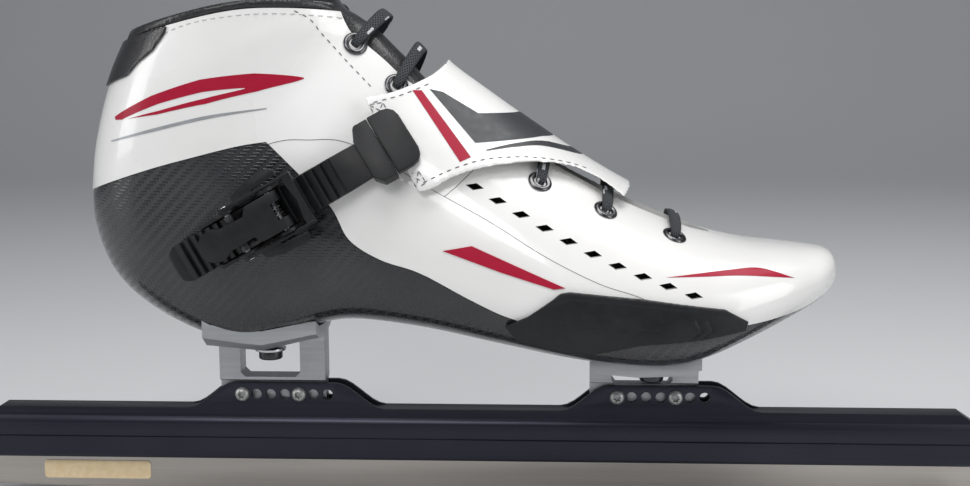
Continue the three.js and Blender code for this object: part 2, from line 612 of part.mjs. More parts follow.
// Thumb lever: a broad knuckle on the front pin, a neck over the rear pin and a round thumb pad.
const springHalf = 3.4;
const leverPlan = () => {
  const disc = Array.from({ length: 13 }, (_, i) => {
    const a = THREE.MathUtils.degToRad(48 + (i * 264) / 12);
    return [-9 + (leverDisc / 2) * Math.cos(a), (leverDisc / 2) * Math.sin(a)];
  });
  return [[20.6, -leverHalf], [20.6, leverHalf], [8.5, leverHalf], [6, 4.4], ...disc, [6, -4.4],
    [8.5, -leverHalf]];
};
function lever() {
  const side = [[20.6, 5.2], [20.6, 8.4], [19, 10.6], [12, 11.8], [4, 12.1], [-9, 12.6], [-16, 12],
    [-16, 10.4],
    [-8, 10], [3, 9.8], [8, 9], [13.4, 5], [15.4, 4.3], [19.4, 4.3]];
  const plan = strapPlan(leverPlan(), 0, 20);
  const springRoom = strapRod(pinDiameter + 5.2, frontPin, pinHeight, springHalf, 20);
  return without(strapSolid(strapSide(side, leverHalf)).intersect(strapSolid(plan)), strapSolid(springRoom),
    strapSolid(strapRod(pinDiameter + 2 * gap, frontPin, pinHeight, 20)));
}
place('buckle_lever', lever(), blackPlastic);

// Release trigger: an arm outside each ear, a finger wing on each arm and a bridge over the ladder.
function trigger() {
  const arm = [[-2.6, pinHeight - 1.6], [-1, pinHeight - 3], [2, pinHeight - 3], [24, 4.2], [28.6, 4.2],
    [28.6, 7], [24, 7.6],
    [6, pinHeight + 2.6], [-1, pinHeight + 2.8], [-2.6, pinHeight + 1.4]];
  const bridge = [[25, armOutside], [25, 7], [26.2, 0], [25, -7], [25, -armOutside], [28.6, -armOutside],
    [28.6, armOutside]];
  const wing = (side) => strapPlan([[4, side * (armOutside - 0.4)], [5, side * (armOutside + 2.6)],
    [12, side * (armOutside + 4.6)],
    [22, side * (armOutside + 4.8)], [24, side * (armOutside + 3.4)], [24, side * (armOutside + 1.2)],
    [14, side * (armOutside + 0.8)], [12, side * (armOutside - 0.4)]], 5.2, 7.6);
  const arms = strapSolid(strapSide(arm, armOutside))
    .subtract(strapSolid(box(-40, 40, -5, 30, -armInside, armInside)));
  return without(join(arms, strapSolid(strapPlan(bridge, 4.2, 7)), strapSolid(wing(1)), strapSolid(wing(-1))),
    strapSolid(strapRod(pinDiameter + 2 * gap, 0, pinHeight, 20)));
}
place('buckle_release', trigger(), blackPlastic);

const toothTop = ladderThickness + toothHeight;
function pawl() {
  const side = [[-1.6, pinHeight + 1.4], [0, pinHeight + 2.1], [1.6, pinHeight + 1.4], [2.2, pinHeight],
    [6.4, toothTop + 1.4],
    [6.4, toothTop + gap], [4.4, toothTop + gap], [0, pinHeight - 2.1], [-1.6, pinHeight - 1.4],
      [-2.1, pinHeight]];
  const spring = strapRod(pinDiameter + 5.2, 0, pinHeight, springHalf, 20);
  return without(strapSolid(strapSide(side, leverHalf)), strapSolid(spring),
    strapSolid(strapRod(pinDiameter + 2 * gap, 0, pinHeight, 20)));
}
place('buckle_pawl', pawl(), brightSteel);

function coil(along) {
  const turns = 4;
  const wire = 0.7;
  const radius = pinDiameter / 2 + gap + wire / 2 + 0.1;
  class Helix extends THREE.Curve {
    getPoint(t, target = new THREE.Vector3()) {
      const a = t * turns * 2 * Math.PI;
      return target.set(along + radius * Math.cos(a), pinHeight + radius * Math.sin(a),
        (t - 0.5) * (2 * springHalf - 1.6));
    }
  }
  const section = Array.from({ length: 5 }, (_, i) => {
    const a = (i * 2 * Math.PI) / 5;
    return [(wire / 2) * Math.cos(a), (wire / 2) * Math.sin(a)];
  });
  return new THREE.ExtrudeGeometry(shapeOf(section), { steps: turns * 7, extrudePath: new Helix() });
}
place('lever_spring', inStrap(coil(frontPin)), brightSteel);
place('release_spring', inStrap(coil(0)), brightSteel);

// ---------------------------------------------------------------- ladder and strap cap
// Each station is [along, top, half width]; a tooth is a slope and a steep face.
function ladderStations() {
  const half = ladderWidth / 2;
  const stations = [[ladderTail, ladderThickness, half - 5], [ladderTail + 1.2, ladderThickness, half - 2.2],
    [ladderTail + 3, ladderThickness, half - 0.8]];
  for (let along = ladderTail + 6; along + toothPitch <= teethEnd; along += toothPitch) {
    stations.push([along, ladderThickness, half], [along + toothPitch - 0.8, toothTop, half],
      [along + toothPitch - 0.3, toothTop, half]);
  }
  for (let along = teethEnd + 1; along < ladderEnd; along += 3) stations.push([along, ladderThickness, half]);
  return [...stations, [ladderEnd, ladderThickness, half]];
}
function ladder() {
  const stations = ladderStations();
  const rows = stations.length + 1;
  return new ParametricGeometry((round, part, target) => {
    const row = Math.round(part * rows);
    const corner = Math.round(round * 4) % 4;
    const [along, top, half] = stations[THREE.MathUtils.clamp(row - 1, 0, stations.length - 1)];
    if (row === 0 || row === rows) target.set(along, top / 2, 0);
    else target.set(along, corner < 2 ? 0 : top, corner % 3 === 0 ? half : -half);
  }, 4, rows);
}
place('ladder_strap', inStrap(bent(ladder())), blackPlastic);

const collarStart = 54.5;
const collarEnd = 63;
const capFront = 74.4;
const capHalf = 12.6;
function ladderCollar() {
  const block = strapPlan([[collarStart, -7], [collarStart + 2, -capHalf + 1],
    [collarStart + 3, -capHalf], [collarEnd, -capHalf],
    [collarEnd, capHalf], [collarStart + 3, capHalf], [collarStart, 9]], -1, 5.8);
  const mouth = box(collarStart - 1, ladderEnd + 1, -gap, ladderThickness + gap, -ladderWidth / 2 - gap,
    ladderWidth / 2 + gap);
  return inStrap(bent(geometryOf(solid(block).subtract(solid(mouth)))));
}
place('ladder_collar', ladderCollar(), blackPlastic);
const capPlate = roundedEnd(collarEnd + gap, capFront, capHalf, 5);
place('strap_cap', inStrap(bent(strapPlan(capPlate, 3, 6.6))), blackPlastic);

// ---------------------------------------------------------------- instep strap
// It lies on the facings, lifted over the laces, and is screwed to the shell on the inner side.
const strapGap = 0.5;
const strapOut = (turn) => {
  const crest = Math.min(turn, 1 - turn);
  return strapGap + strapLift * THREE.MathUtils.smoothstep(crest, 0.25, 0.34);
};
const overCrest = [[-11, 176.5], [-8, 240], [160, 240], [62, 129]];
const strapOuterSide = sampled(curve([62, 129], [52.6, 135.8], [41.5, 141], [27.6, 143.4], [10.5, 142.4],
  [-2.7, 139],
  [-11.4, 134.4], [-16.6, 133])).concat(sampled(curve([-37.8, 168.4], [-30.5, 169.3], [-19.3, 172.6],
    [-11, 176.5])),
  overCrest.slice(1, 3));
const strapInnerSide = sampled(curve([62, 129], [52.6, 135.8], [41.5, 141], [27.6, 142.4], [10.5, 137.4],
  [-8, 128],
  [-30, 113], [-54, 98], [-64, 96], [-76, 97], [-86, 103], [-89, 113], [-84, 122], [-60, 146], [-30, 168],
    [-11, 176.5]))
  .concat(overCrest.slice(1, 3));
const anchor = seenAt([-77, 107], false);
const anchorHole = solid(standOn(rod('y', rivetShank + 2 * gap, [0, -12, 0], 24, 12), anchor));
function instepStrap() {
  const layer = bootForm((turn) => strapOut(turn) + strapThickness).subtract(bootForm(strapOut));
  const outer = layer.intersect(solid(sidePrism(strapOuterSide, -100, -4)));
  const inner = layer.intersect(solid(sidePrism(strapInnerSide, -4, 100)));
  return outer.add(inner).subtract(anchorHole);
}
place('instep_strap', instepStrap(), whiteUpper);

const anchorProfile = [[0, -5.4], [rivetShank / 2 + 1.5, -5.4], [rivetShank / 2 + 1.5, -4.4],
  [rivetShank / 2, -4.4],
  [rivetShank / 2, strapGap + strapThickness + gap], [5, strapGap + strapThickness + gap],
  [4.6, strapGap + strapThickness + 1.4], [0, strapGap + strapThickness + 1.8]];
const anchorRoom = solid(standOn(rod('y', rivetShank + 3 + 2 * gap, [0, -8, 0], 6, 12), anchor));
place('strap_anchor_rivet', standOn(lathe(anchorProfile, 14), anchor), darkSteel);

// ---------------------------------------------------------------- boot shell, upper and trim
const skin = bootForm(0);
const heelSeam = solid(box(-300, -90, -4 - gap / 2, -4 + gap / 2, -50, 300));
const outerHalf = solid(box(-300, 300, -100, -4 - gap / 2, -50, 400));
const innerHalf = solid(box(-300, 300, -4 + gap / 2, 100, -50, 400));

place('carbon_shell', without(skin.subtract(shellInner)
  .intersect(below(carbonTrim)), ...rivetHoles, anchorHole,
  ...fastenerCuts), carbon);

const eyeletPlaces = [[-43.3, 188.9], [-27.2, 172.6], [-8.5, 158.2], [10.3, 146.4], [28.9, 135.4],
  [54.4, 124], [81.4, 113.6]];
const eyelets = [true, false].map((outerSide) => eyeletPlaces.map((at) => seenAt(at, outerSide)));
const barrel = eyeletBore / 2 + 0.6;
const eyeletHoles = eyelets.flat().map((at) =>
  solid(standOn(rod('y', 2 * (barrel + gap), [0, -8, 0], 16, 12), at)));
const perforationCount = 10;
const perforationLine = new THREE.SplineCurve([[4.3, 134.5], [31.2, 119.2], [58.3, 105.5], [87.8, 93.9]]
  .map(([x, z]) => new THREE.Vector2(x, z)));
const perforations = Array.from({ length: perforationCount }, (_, i) => {
  const at = perforationLine.getPointAt(i / (perforationCount - 1));
  const diamond = [[-3.4, 0.5], [-0.6, -1.3], [3.4, -0.5], [0.6, 1.3]].map(([x, z]) => [at.x + x, at.y + z]);
  return solid(sidePrism(diamond));
});

const upperLayer = skin.subtract(bootForm(-upperWall)).intersect(above(carbonTrim));
const quarter = without(upperLayer.intersect(above(seam)).intersect(above(ankleSplit))
  .intersect(below(collarTrim)),
  throatCut, heelSeam, ...eyeletHoles);
place('quarter_outer', quarter.intersect(outerHalf), whiteUpper);
place('quarter_inner', quarter.intersect(innerHalf), whiteUpper);
const sidePanel = upperLayer.intersect(below(seam));
place('side_panel_outer', sidePanel.intersect(outerHalf), whiteUpper);
place('side_panel_inner', sidePanel.intersect(innerHalf), whiteUpper);
place('vamp', without(upperLayer.intersect(above(seam))
  .intersect(below(ankleSplit)), throatCut, ...eyeletHoles,
  ...perforations), whiteUpper);

const collarInside = upperWall + collarPad;
const tongueRoom = solid(planPrism(tonguePlan, 98, 300));
const underFacings = tongueRoom.intersect(bootForm(-upperWall - gap));
place('collar_binding', without(skin.subtract(bootForm(-collarInside)).intersect(above(collarTrim))
  .intersect(below(collarRim)), throatCut, underFacings), blackLeather);
place('collar_padding', without(bootForm(-upperWall - gap).subtract(bootForm(-collarInside))
  .intersect(below(collarTrim))
  .intersect(above(padBottom)), tongueRoom), blackFoam);
const linerOut = -shellWall - 2.5;
place('liner', without(innerForm(linerOut).subtract(innerForm(linerOut - linerWall))
  .intersect(below(padBottom)),
  tongueRoom, anchorRoom, ...cups.map((item) => item.pocket),
  ...rivetPlaces.map((along) => strapSolid(rod('y', rivetShank + 3 + 2 * gap, [along, -20, 0], 18, 12)))),
    blackFoam);

const footbedSkin = innerForm(linerOut - linerWall - gap);
place('footbed', footbedSkin.subtract(footbedSkin.translate(0, 0, footbedThickness))
  .intersect(solid(box(-132, 118, -60, 60, 40, 92))), blackFoam);

const tongueOut = -5.6;
const tongueTop = moved(collarTrim, 9);
place('tongue', innerForm(tongueOut).subtract(innerForm(tongueOut - tongueThickness))
  .intersect(solid(planPrism(tonguePlan.map(([x, y]) => [x, y + (y > -3 ? -gap : gap)]), 98.5, 300)))
  .intersect(below(tongueTop)), blackLeather);

const bumperOutline = [[16.1, 82], [25.1, 86.5], [34.6, 93.4], [39.5, 96.2], [68.4, 93.5], [99.8, 88.6],
  [109, 83.2],
  [108, 79.6], [90.2, 77.2], [67.4, 75.8], [48.7, 71.2], [41.8, 71.1], [21.2, 74.5]];
const bumper = bootForm(gap + bumperThickness).subtract(bootOut)
  .intersect(solid(sidePrism(bumperOutline.reverse())));
place('side_bumper_outer', bumper.intersect(outerHalf), blackPlastic);
place('side_bumper_inner', bumper.intersect(innerHalf), blackPlastic);

const heelTabOutline = [[-160, 168], [-132.3, 177.1], [-127.1, 182.1], [-120.3, 186.8], [-114.9, 193.6],
  [-112, 205], [-160, 205]];
place('heel_tab', bootForm(gap + heelTabThickness).subtract(bootOut)
  .intersect(solid(sidePrism(heelTabOutline)))
  .intersect(below(collarTrim)), blackLeather);

// ---------------------------------------------------------------- eyelets and lace
const rim = [[eyeletBore / 2, -upperWall], [barrel, -upperWall], [barrel, gap], [eyeletRim / 2, gap],
  [eyeletRim / 2 - 0.6, 1], [eyeletBore / 2 + 0.3, 0.9], [eyeletBore / 2, -upperWall]];
eyelets.forEach((row, side) => row.forEach((at, i) => {
  place(`eyelet_${side === 0 ? 'outer' : 'inner'}_${i + 1}`, standOn(lathe(rim, 10), at), darkSteel);
}));

// The lace crosses the throat through each pair of eyelets and runs under the facing to the next pair.
const underFacing = -3.9;
const overRim = 2.7;
const lacePoints = [];
for (let i = eyeletPlaces.length - 1; i >= 0; i -= 1) {
  const from = eyelets[i % 2][i];
  const to = eyelets[1 - (i % 2)][i];
  const inward = from.turn < 0.5 ? 1 : -1;
  lacePoints.push(onBoot(from.s, from.turn, underFacing + 0.5), onBoot(from.s, from.turn, -1),
    onBoot(from.s, from.turn, 1.3), onBoot(from.s, from.turn + inward * 0.016, overRim));
  for (const share of [0.35, 0.65]) {
    lacePoints.push(onBoot(from.s, THREE.MathUtils.lerp(from.turn, to.turn, share), overRim - 0.2));
  }
  lacePoints.push(onBoot(to.s, to.turn - inward * 0.016, overRim), onBoot(to.s, to.turn, 1.3),
    onBoot(to.s, to.turn, -1), onBoot(to.s, to.turn, underFacing + 0.5));
  if (i > 0) {
    const next = eyelets[1 - (i % 2)][i - 1];
    lacePoints.push(onBoot((to.s + next.s) / 2, (to.turn + next.turn) / 2, underFacing));
  }
}
const lacePath = new THREE.CatmullRomCurve3(lacePoints, false, 'centripetal');
const laceSection = Array.from({ length: 8 }, (_, i) => {
  const a = (i * Math.PI) / 4;
  return [(laceDiameter / 2) * Math.cos(a), (laceDiameter / 2) * Math.sin(a)];
});
place('lace', new THREE.ExtrudeGeometry(shapeOf(laceSection),
  { steps: Math.round(lacePoints.length * 1.6), extrudePath: lacePath }), laceCloth);

export default skate;
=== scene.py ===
# A right-foot speed skate: a carbon boot with a gloss white upper, a padded instep strap drawn
# tight by a ratchet buckle, and a fixed blade carried by a flanged tube and two alloy cups.
# Metres, +Z up, +X to the toe, -Y to the outer side of the foot, Z = 0 at the ice.
import math
import bmesh
import bpy
import numpy as np
from mathutils import Matrix, Vector
from mathutils.bvhtree import BVHTree


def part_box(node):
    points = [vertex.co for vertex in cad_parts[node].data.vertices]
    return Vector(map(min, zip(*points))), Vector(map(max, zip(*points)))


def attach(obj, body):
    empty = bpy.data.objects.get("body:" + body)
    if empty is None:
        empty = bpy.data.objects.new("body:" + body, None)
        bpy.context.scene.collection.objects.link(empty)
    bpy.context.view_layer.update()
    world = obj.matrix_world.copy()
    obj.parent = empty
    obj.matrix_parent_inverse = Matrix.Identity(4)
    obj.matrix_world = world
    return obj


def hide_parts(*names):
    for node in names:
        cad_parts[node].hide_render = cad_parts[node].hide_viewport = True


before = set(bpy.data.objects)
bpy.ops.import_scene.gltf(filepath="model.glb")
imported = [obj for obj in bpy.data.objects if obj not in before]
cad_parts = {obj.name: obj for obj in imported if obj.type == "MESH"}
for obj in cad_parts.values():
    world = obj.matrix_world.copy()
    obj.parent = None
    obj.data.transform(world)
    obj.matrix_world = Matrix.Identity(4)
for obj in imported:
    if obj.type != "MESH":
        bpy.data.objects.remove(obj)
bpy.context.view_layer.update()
MM = 0.001
scene = bpy.context.scene
scene.view_settings.view_transform = "Standard"

# ---- Camera, floor and light
# A long lens stands a little above the strap on the outer side of the skate, and looks straight
# across it. The floor is one pale sheet that curves up behind, lit by four wide soft panels.
eye = Vector((43.05, -609.5, 193.5)) * MM
aim = Vector((5.7, 0, 107.05)) * MM
ahead = (aim - eye).normalized()
level = ahead.cross(Vector((0, 0, 1))).normalized()
tilt = math.radians(-0.33)
right = level * math.cos(tilt) + level.cross(ahead) * math.sin(tilt)
camera = bpy.data.objects.new("camera", bpy.data.cameras.new("camera"))
camera.data.sensor_width = 36
camera.data.lens = 55.45
camera.data.clip_start = 0.01
camera.matrix_world = Matrix((right, right.cross(ahead), -ahead)).transposed().to_4x4()
camera.location = eye
scene.collection.objects.link(camera)
scene.camera = camera


def linked(name, shape):
    """A new object in the scene from a bmesh, which is freed, or from a mesh."""
    if isinstance(shape, bmesh.types.BMesh):
        mesh = bpy.data.meshes.new(name)
        shape.to_mesh(mesh)
        shape.free()
        shape = mesh
    made = bpy.data.objects.new(name, shape)
    scene.collection.objects.link(made)
    return made


class Reading:
    """A number that changes over a surface; sums of readings add Math nodes."""

    def __init__(self, tree, socket):
        self.tree = tree
        self.socket = socket

    def maths(self, operation, *terms):
        node = self.tree.nodes.new("ShaderNodeMath")
        node.operation = operation
        for slot, term in zip(node.inputs, terms):
            if isinstance(term, Reading):
                self.tree.links.new(term.socket, slot)
            else:
                slot.default_value = term
        return Reading(self.tree, node.outputs[0])

    def __add__(self, other):
        return self.maths("ADD", self, other)

    def __mul__(self, other):
        return self.maths("MULTIPLY", self, other)

    def __sub__(self, other):
        return self.maths("SUBTRACT", self, other)

    def __rsub__(self, other):
        return self.maths("SUBTRACT", other, self)

    def __truediv__(self, other):
        return self.maths("DIVIDE", self, other)

    def __mod__(self, other):
        return self.maths("FLOORED_MODULO", self, other)

    def __lt__(self, other):
        return self.maths("LESS_THAN", self, other)

    def __gt__(self, other):
        return self.maths("GREATER_THAN", self, other)

    __radd__ = __add__
    __rmul__ = __mul__

    def floor(self):
        return self.maths("FLOOR", self)

    def sine(self):
        return self.maths("SINE", self)

    def size(self):
        return self.maths("ABSOLUTE", self)


class Finish:
    """A surface finish: one Principled shader and the nodes that vary it."""

    def __init__(self, name, **fixed):
        self.material = bpy.data.materials.new(name)
        self.material.use_nodes = True
        self.tree = self.material.node_tree
        self.shader = self.tree.nodes["Principled BSDF"]
        for key, value in fixed.items():
            self.shader.inputs[key.replace("_", " ")].default_value = value

    def node(self, kind, settings, sockets, out=0):
        node = self.tree.nodes.new("ShaderNode" + kind)
        for key, value in settings.items():
            setattr(node, key, value)
        for key, value in sockets.items():
            if isinstance(value, Reading):
                self.tree.links.new(value.socket, node.inputs[key])
            else:
                node.inputs[key].default_value = value
        return Reading(self.tree, node.outputs[out])

    def axis(self, reading, number):
        return self.node("SeparateXYZ", {}, {0: reading}, number)

    def place(self, stretch=(1, 1, 1), turn=(0, 0, 0)):
        at = self.node("TexCoord", {}, {}, "Object")
        return self.node("Mapping", {}, {"Vector": at, "Scale": stretch, "Rotation": turn})

    def noise(self, scale, at=None, detail=3.0, rough=0.5):
        sockets = {"Scale": scale, "Detail": detail, "Roughness": rough}
        sockets["Vector"] = at or self.place()
        return self.node("TexNoise", {}, sockets)

    def ramp(self, reading, low, high, start=0.0, end=1.0):
        limits = {1: low, 2: high, 3: start, 4: end}
        return self.node("MapRange", {}, {0: reading, **limits})

    def mix(self, share, first, second):
        return self.node("Mix", {"data_type": "RGBA"}, {0: share, 6: first, 7: second}, 2)

    def put(self, **readings):
        for key, reading in readings.items():
            self.tree.links.new(reading.socket, self.shader.inputs[key.replace("_", " ")])
        return self

    def bump(self, height, depth, strength=1.0):
        sockets = {"Height": height, "Distance": depth, "Strength": strength}
        return self.put(Normal=self.node("Bump", {}, sockets))

    def varied(self, reading, dark, light, smooth, rough, depth, strength):
        self.put(Base_Color=self.mix(reading, dark, light))
        self.put(Roughness=self.ramp(reading, 0.3, 0.7, smooth, rough)).bump(reading, depth, strength)


floor_paint = Finish("pale_floor", Roughness=0.65)
floor_paint.put(Base_Color=floor_paint.mix(
    floor_paint.noise(3.0), (0.62, 0.63, 0.64, 1), (0.66, 0.665, 0.67, 1)))
sweep = bmesh.new()
bmesh.ops.create_grid(sweep, x_segments=1, y_segments=40, size=1)
for vert in sweep.verts:
    run = (vert.co.y + 1) / 2
    bend = min(max((run - 0.55) / 0.2, 0), 1)
    vert.co = Vector((vert.co.x * 6, -3 + min(run, 0.55) * 8 + math.sin(bend * math.pi / 2) * 0.8,
                      (1 - math.cos(bend * math.pi / 2)) * 0.8 + max(run - 0.75, 0) * 14 - 0.0006))
backdrop = linked("backdrop", sweep)
backdrop.data.materials.append(floor_paint.material)
backdrop.data.polygons.foreach_set("use_smooth", [True] * len(backdrop.data.polygons))

for name, spot, look, wide, tall, power in (
        ("panel_front", (-0.35, -1.15, 0.95), (0, 0, 0.1), 0.8, 0.35, 5.4),
        ("panel_over", (0.2, -0.15, 1.05), (0, 0, 0.08), 1.2, 0.45, 9),
        ("panel_toe", (1.05, -0.55, 0.45), (0, 0, 0.1), 0.4, 0.8, 3.4),
        ("panel_heel", (-1.1, -0.35, 0.5), (0, 0, 0.12), 0.4, 0.8, 3.4)):
    lamp = bpy.data.objects.new(name, bpy.data.lights.new(name, "AREA"))
    lamp.data.shape = "RECTANGLE"
    lamp.data.size = wide
    lamp.data.size_y = tall
    lamp.data.energy = power
    lamp.location = spot
    lamp.rotation_euler = (Vector(look) - Vector(spot)).to_track_quat("-Z", "Y").to_euler()
    scene.collection.objects.link(lamp)
scene.world = bpy.data.worlds.new("room")
scene.world.use_nodes = True
scene.world.node_tree.nodes["Background"].inputs["Color"].default_value = (0.9, 0.93, 1, 1)
scene.world.node_tree.nodes["Background"].inputs["Strength"].default_value = 0.21


# ---- Blade
# A strip of hardened steel, 1.25 mm thick, ground lengthways on its sides and rockered along its
# running edge. A cream maker's label is stuck near its heel end.
def piece(name, shape, finish, body="boot_and_blade", replaces=(), sharp=35):
    """A finished piece: smooth faces, its material, its body and the solids it stands for."""
    made = linked(name, shape)
    made.data.materials.clear()
    made.data.materials.append(finish.material)
    made.data.polygons.foreach_set("use_smooth", [True] * len(made.data.polygons))
    made.data.set_sharp_from_angle(angle=math.radians(sharp))
    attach(made, body)
    if replaces:
        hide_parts(*replaces)
    return made


def eased(node, edge, segments=2, angle=28, flat=1.0):
    """A copy of a solid with its flats made whole and its edges rounded."""
    form = bmesh.new()
    form.from_mesh(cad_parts[node].data)
    bmesh.ops.remove_doubles(form, verts=form.verts, dist=2e-6)
    bmesh.ops.dissolve_limit(form, verts=form.verts, edges=form.edges, angle_limit=math.radians(flat))
    edges = [e for e in form.edges if e.is_manifold and e.calc_face_angle(0) > math.radians(angle)]
    bmesh.ops.bevel(form, geom=edges, offset=edge, offset_type="OFFSET", segments=segments,
                    affect="EDGES", profile=0.5, material=-1, clamp_overlap=True)
    return form


steel = Finish("ground_steel", Metallic=1.0, Roughness=0.3)
fine = steel.noise(1.0, steel.place((9, 40, 2600)), 4)
broad = steel.noise(1.0, steel.place((14, 30, 160)), 3)
steel.put(Base_Color=steel.mix(fine * 0.6 + broad * 0.4, (0.36, 0.325, 0.295, 1),
    (0.62, 0.585, 0.545, 1)))
steel.put(Roughness=steel.ramp(fine, 0.2, 0.8, 0.24, 0.46)).bump(fine, 0.00004, 0.5)
piece("ground_blade", eased("blade_steel", 0.00012, 1, 20, 0.02), steel,
      replaces=["blade_steel"])

label = Finish("cream_paper", Roughness=0.45)
worn = label.noise(420, detail=4)
label.put(Base_Color=label.mix(label.ramp(worn, 0.4, 0.7), (0.78, 0.6, 0.36, 1), (0.84, 0.69, 0.45, 1)))
label.put(Roughness=label.ramp(worn, 0.3, 0.7, 0.35, 0.6)).bump(worn, 0.00003, 0.4)


def outline_face(points, depth):
    """A prism of an outline in millimetres: [x, z] runs through in Y from depth[0] to depth[1]."""
    form = bmesh.new()
    low, high = depth
    verts = [form.verts.new(Vector((x, low, z)) * MM) for x, z in points]
    face = form.faces.new(verts)
    run = bmesh.ops.extrude_face_region(form, geom=[face])
    moved = [v for v in run["geom"] if isinstance(v, bmesh.types.BMVert)]
    bmesh.ops.translate(form, verts=moved, vec=Vector((0, high - low, 0)) * MM)
    bmesh.ops.recalc_face_normals(form, faces=form.faces)
    return form


def rounded_box(x0, x1, z0, z1, radius, steps=6):
    points = []
    for cx, cz, start in ((x1 - radius, z1 - radius, 0), (x0 + radius, z1 - radius, 90),
                          (x0 + radius, z0 + radius, 180), (x1 - radius, z0 + radius, 270)):
        for i in range(steps + 1):
            a = math.radians(start + 90 * i / steps)
            points.append((cx + radius * math.cos(a), cz + radius * math.sin(a)))
    return points


piece("blade_sticker", outline_face(rounded_box(-184, -137.8, 5, 12.8, 1.6), (-0.93, -0.73)), label,
      replaces=["blade_label"])

# ---- Blade tube
# An extruded aluminium tube that grips the blade in a slit, with two flanges of seven holes. It
# is turned over in dark blue-grey anodising.
anodised = Finish("dark_anodising", Metallic=0.85, Roughness=0.34)
drawn = anodised.noise(1.0, anodised.place((6, 300, 900)), 4)
cloud = anodised.noise(26, detail=4)
anodised.put(Base_Color=anodised.mix(drawn * 0.5 + cloud * 0.5, (0.022, 0.023, 0.033, 1),
    (0.045, 0.047, 0.062, 1)))
anodised.put(Roughness=anodised.ramp(drawn, 0.25, 0.75, 0.27, 0.42)).bump(drawn, 0.00002, 0.35)
piece("anodised_tube", eased("blade_tube", 0.00035, 3, 24, 0.05), anodised,
      replaces=["blade_tube"])

# ---- Cups, washers and bolts
# Two cups milled from alloy and bead blasted, each shaped to the sole above and slotted for a
# bolt, with a tongue between the flange plates. Black bolts on plain steel washers hold them.
blasted = Finish("blasted_alloy", Metallic=0.9, Roughness=0.5)
beads = blasted.noise(2600, detail=2)
milled = blasted.noise(1.0, blasted.place((30, 30, 500)), 3)
blasted.put(Base_Color=blasted.mix(milled, (0.33, 0.34, 0.35, 1), (0.5, 0.51, 0.52, 1)))
blasted.put(Roughness=blasted.ramp(beads, 0.3, 0.7, 0.4, 0.6)).bump(beads, 0.00005, 0.6)
for end in ("rear", "front"):
    piece(end + "_cup_blasted", eased(end + "_cup", 0.0003, 2, 32, 0.4), blasted,
          replaces=[end + "_cup"])

bright = Finish("bright_steel", Metallic=1.0, Roughness=0.22)
bright.varied(bright.noise(900, detail=3), (0.5, 0.5, 0.51, 1), (0.72, 0.72, 0.73, 1), 0.16, 0.34,
    0.00002, 0.3)
black_steel = Finish("blacked_steel", Metallic=0.95, Roughness=0.35)
black_steel.varied(black_steel.noise(700, detail=4), (0.035, 0.035, 0.037, 1), (0.11, 0.11, 0.115, 1),
    0.28, 0.46, 0.00003, 0.4)
for end in ("rear", "front"):
    piece(end + "_washer_turned", eased(end + "_cup_washer", 0.00015), bright,
          replaces=[end + "_cup_washer"])
    piece(end + "_bolt_black", eased(end + "_cup_bolt", 0.0002), black_steel,
          replaces=[end + "_cup_bolt"])
    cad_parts[end + "_sole_insert"].data.materials.clear()
    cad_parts[end + "_sole_insert"].data.materials.append(bright.material)


# ---- Tube screws
# Four button-head screws with star sockets, zinc plated, each with a round nut on the inner side.
# They pull the two flanges together on the cups' tongues, in two of the seven holes at each cup.
def spun(profile, steps=28):
    """A turned part about the Z axis from [radius, height] in millimetres."""
    form = bmesh.new()
    verts = [form.verts.new(Vector((r, 0, h)) * MM) for r, h in profile]
    edges = [form.edges.new(pair) for pair in zip(verts, verts[1:])]
    bmesh.ops.spin(form, geom=verts + edges, cent=(0, 0, 0), axis=(0, 0, 1), angle=math.tau,
                   steps=steps, use_merge=True)
    bmesh.ops.remove_doubles(form, verts=form.verts, dist=1e-6)
    bmesh.ops.recalc_face_normals(form, faces=form.faces)
    return form


def star(lobes, outer, inner, depth):
    """A prism with rounded lobes, for a star socket, from z = 0 down to -depth."""
    form = bmesh.new()
    bmesh.ops.create_circle(form, cap_ends=True, segments=lobes * 6, radius=1)
    for vert in form.verts:
        a = math.atan2(vert.co.y, vert.co.x)
        reach = (outer + inner) / 2 + (outer - inner) / 2 * math.cos(lobes * a)
        vert.co = Vector((math.cos(a) * reach, math.sin(a) * reach, 1)) * MM
    run = bmesh.ops.extrude_face_region(form, geom=form.faces[:])
    moved = [v for v in run["geom"] if isinstance(v, bmesh.types.BMVert)]
    bmesh.ops.translate(form, verts=moved, vec=(0, 0, -(depth + 1) * MM))
    bmesh.ops.recalc_face_normals(form, faces=form.faces)
    return form


spare = []


def blank(shape):
    """A helper solid for cutting, which is cleared away at the end of the script."""
    made = linked("blank", shape)
    spare.append(made)
    return made


def slab(points, depth):
    """A helper prism of an [x, z] outline, for cutting from the side."""
    return blank(outline_face(points, depth))


CUT, KEEP = "DIFFERENCE", "INTERSECT"


def carved(shape, *cuts):
    """The mesh of a solid after each helper solid is cut away, kept as a limit or joined on."""
    for kind, tool in cuts:
        step = shape.modifiers.new("carve", "BOOLEAN")
        step.operation = kind
        step.solver = "MANIFOLD"
        step.object = tool
    bpy.context.view_layer.update()
    ready = shape.evaluated_get(bpy.context.evaluated_depsgraph_get())
    mesh = bpy.data.meshes.new_from_object(ready)
    shape.modifiers.clear()
    return mesh


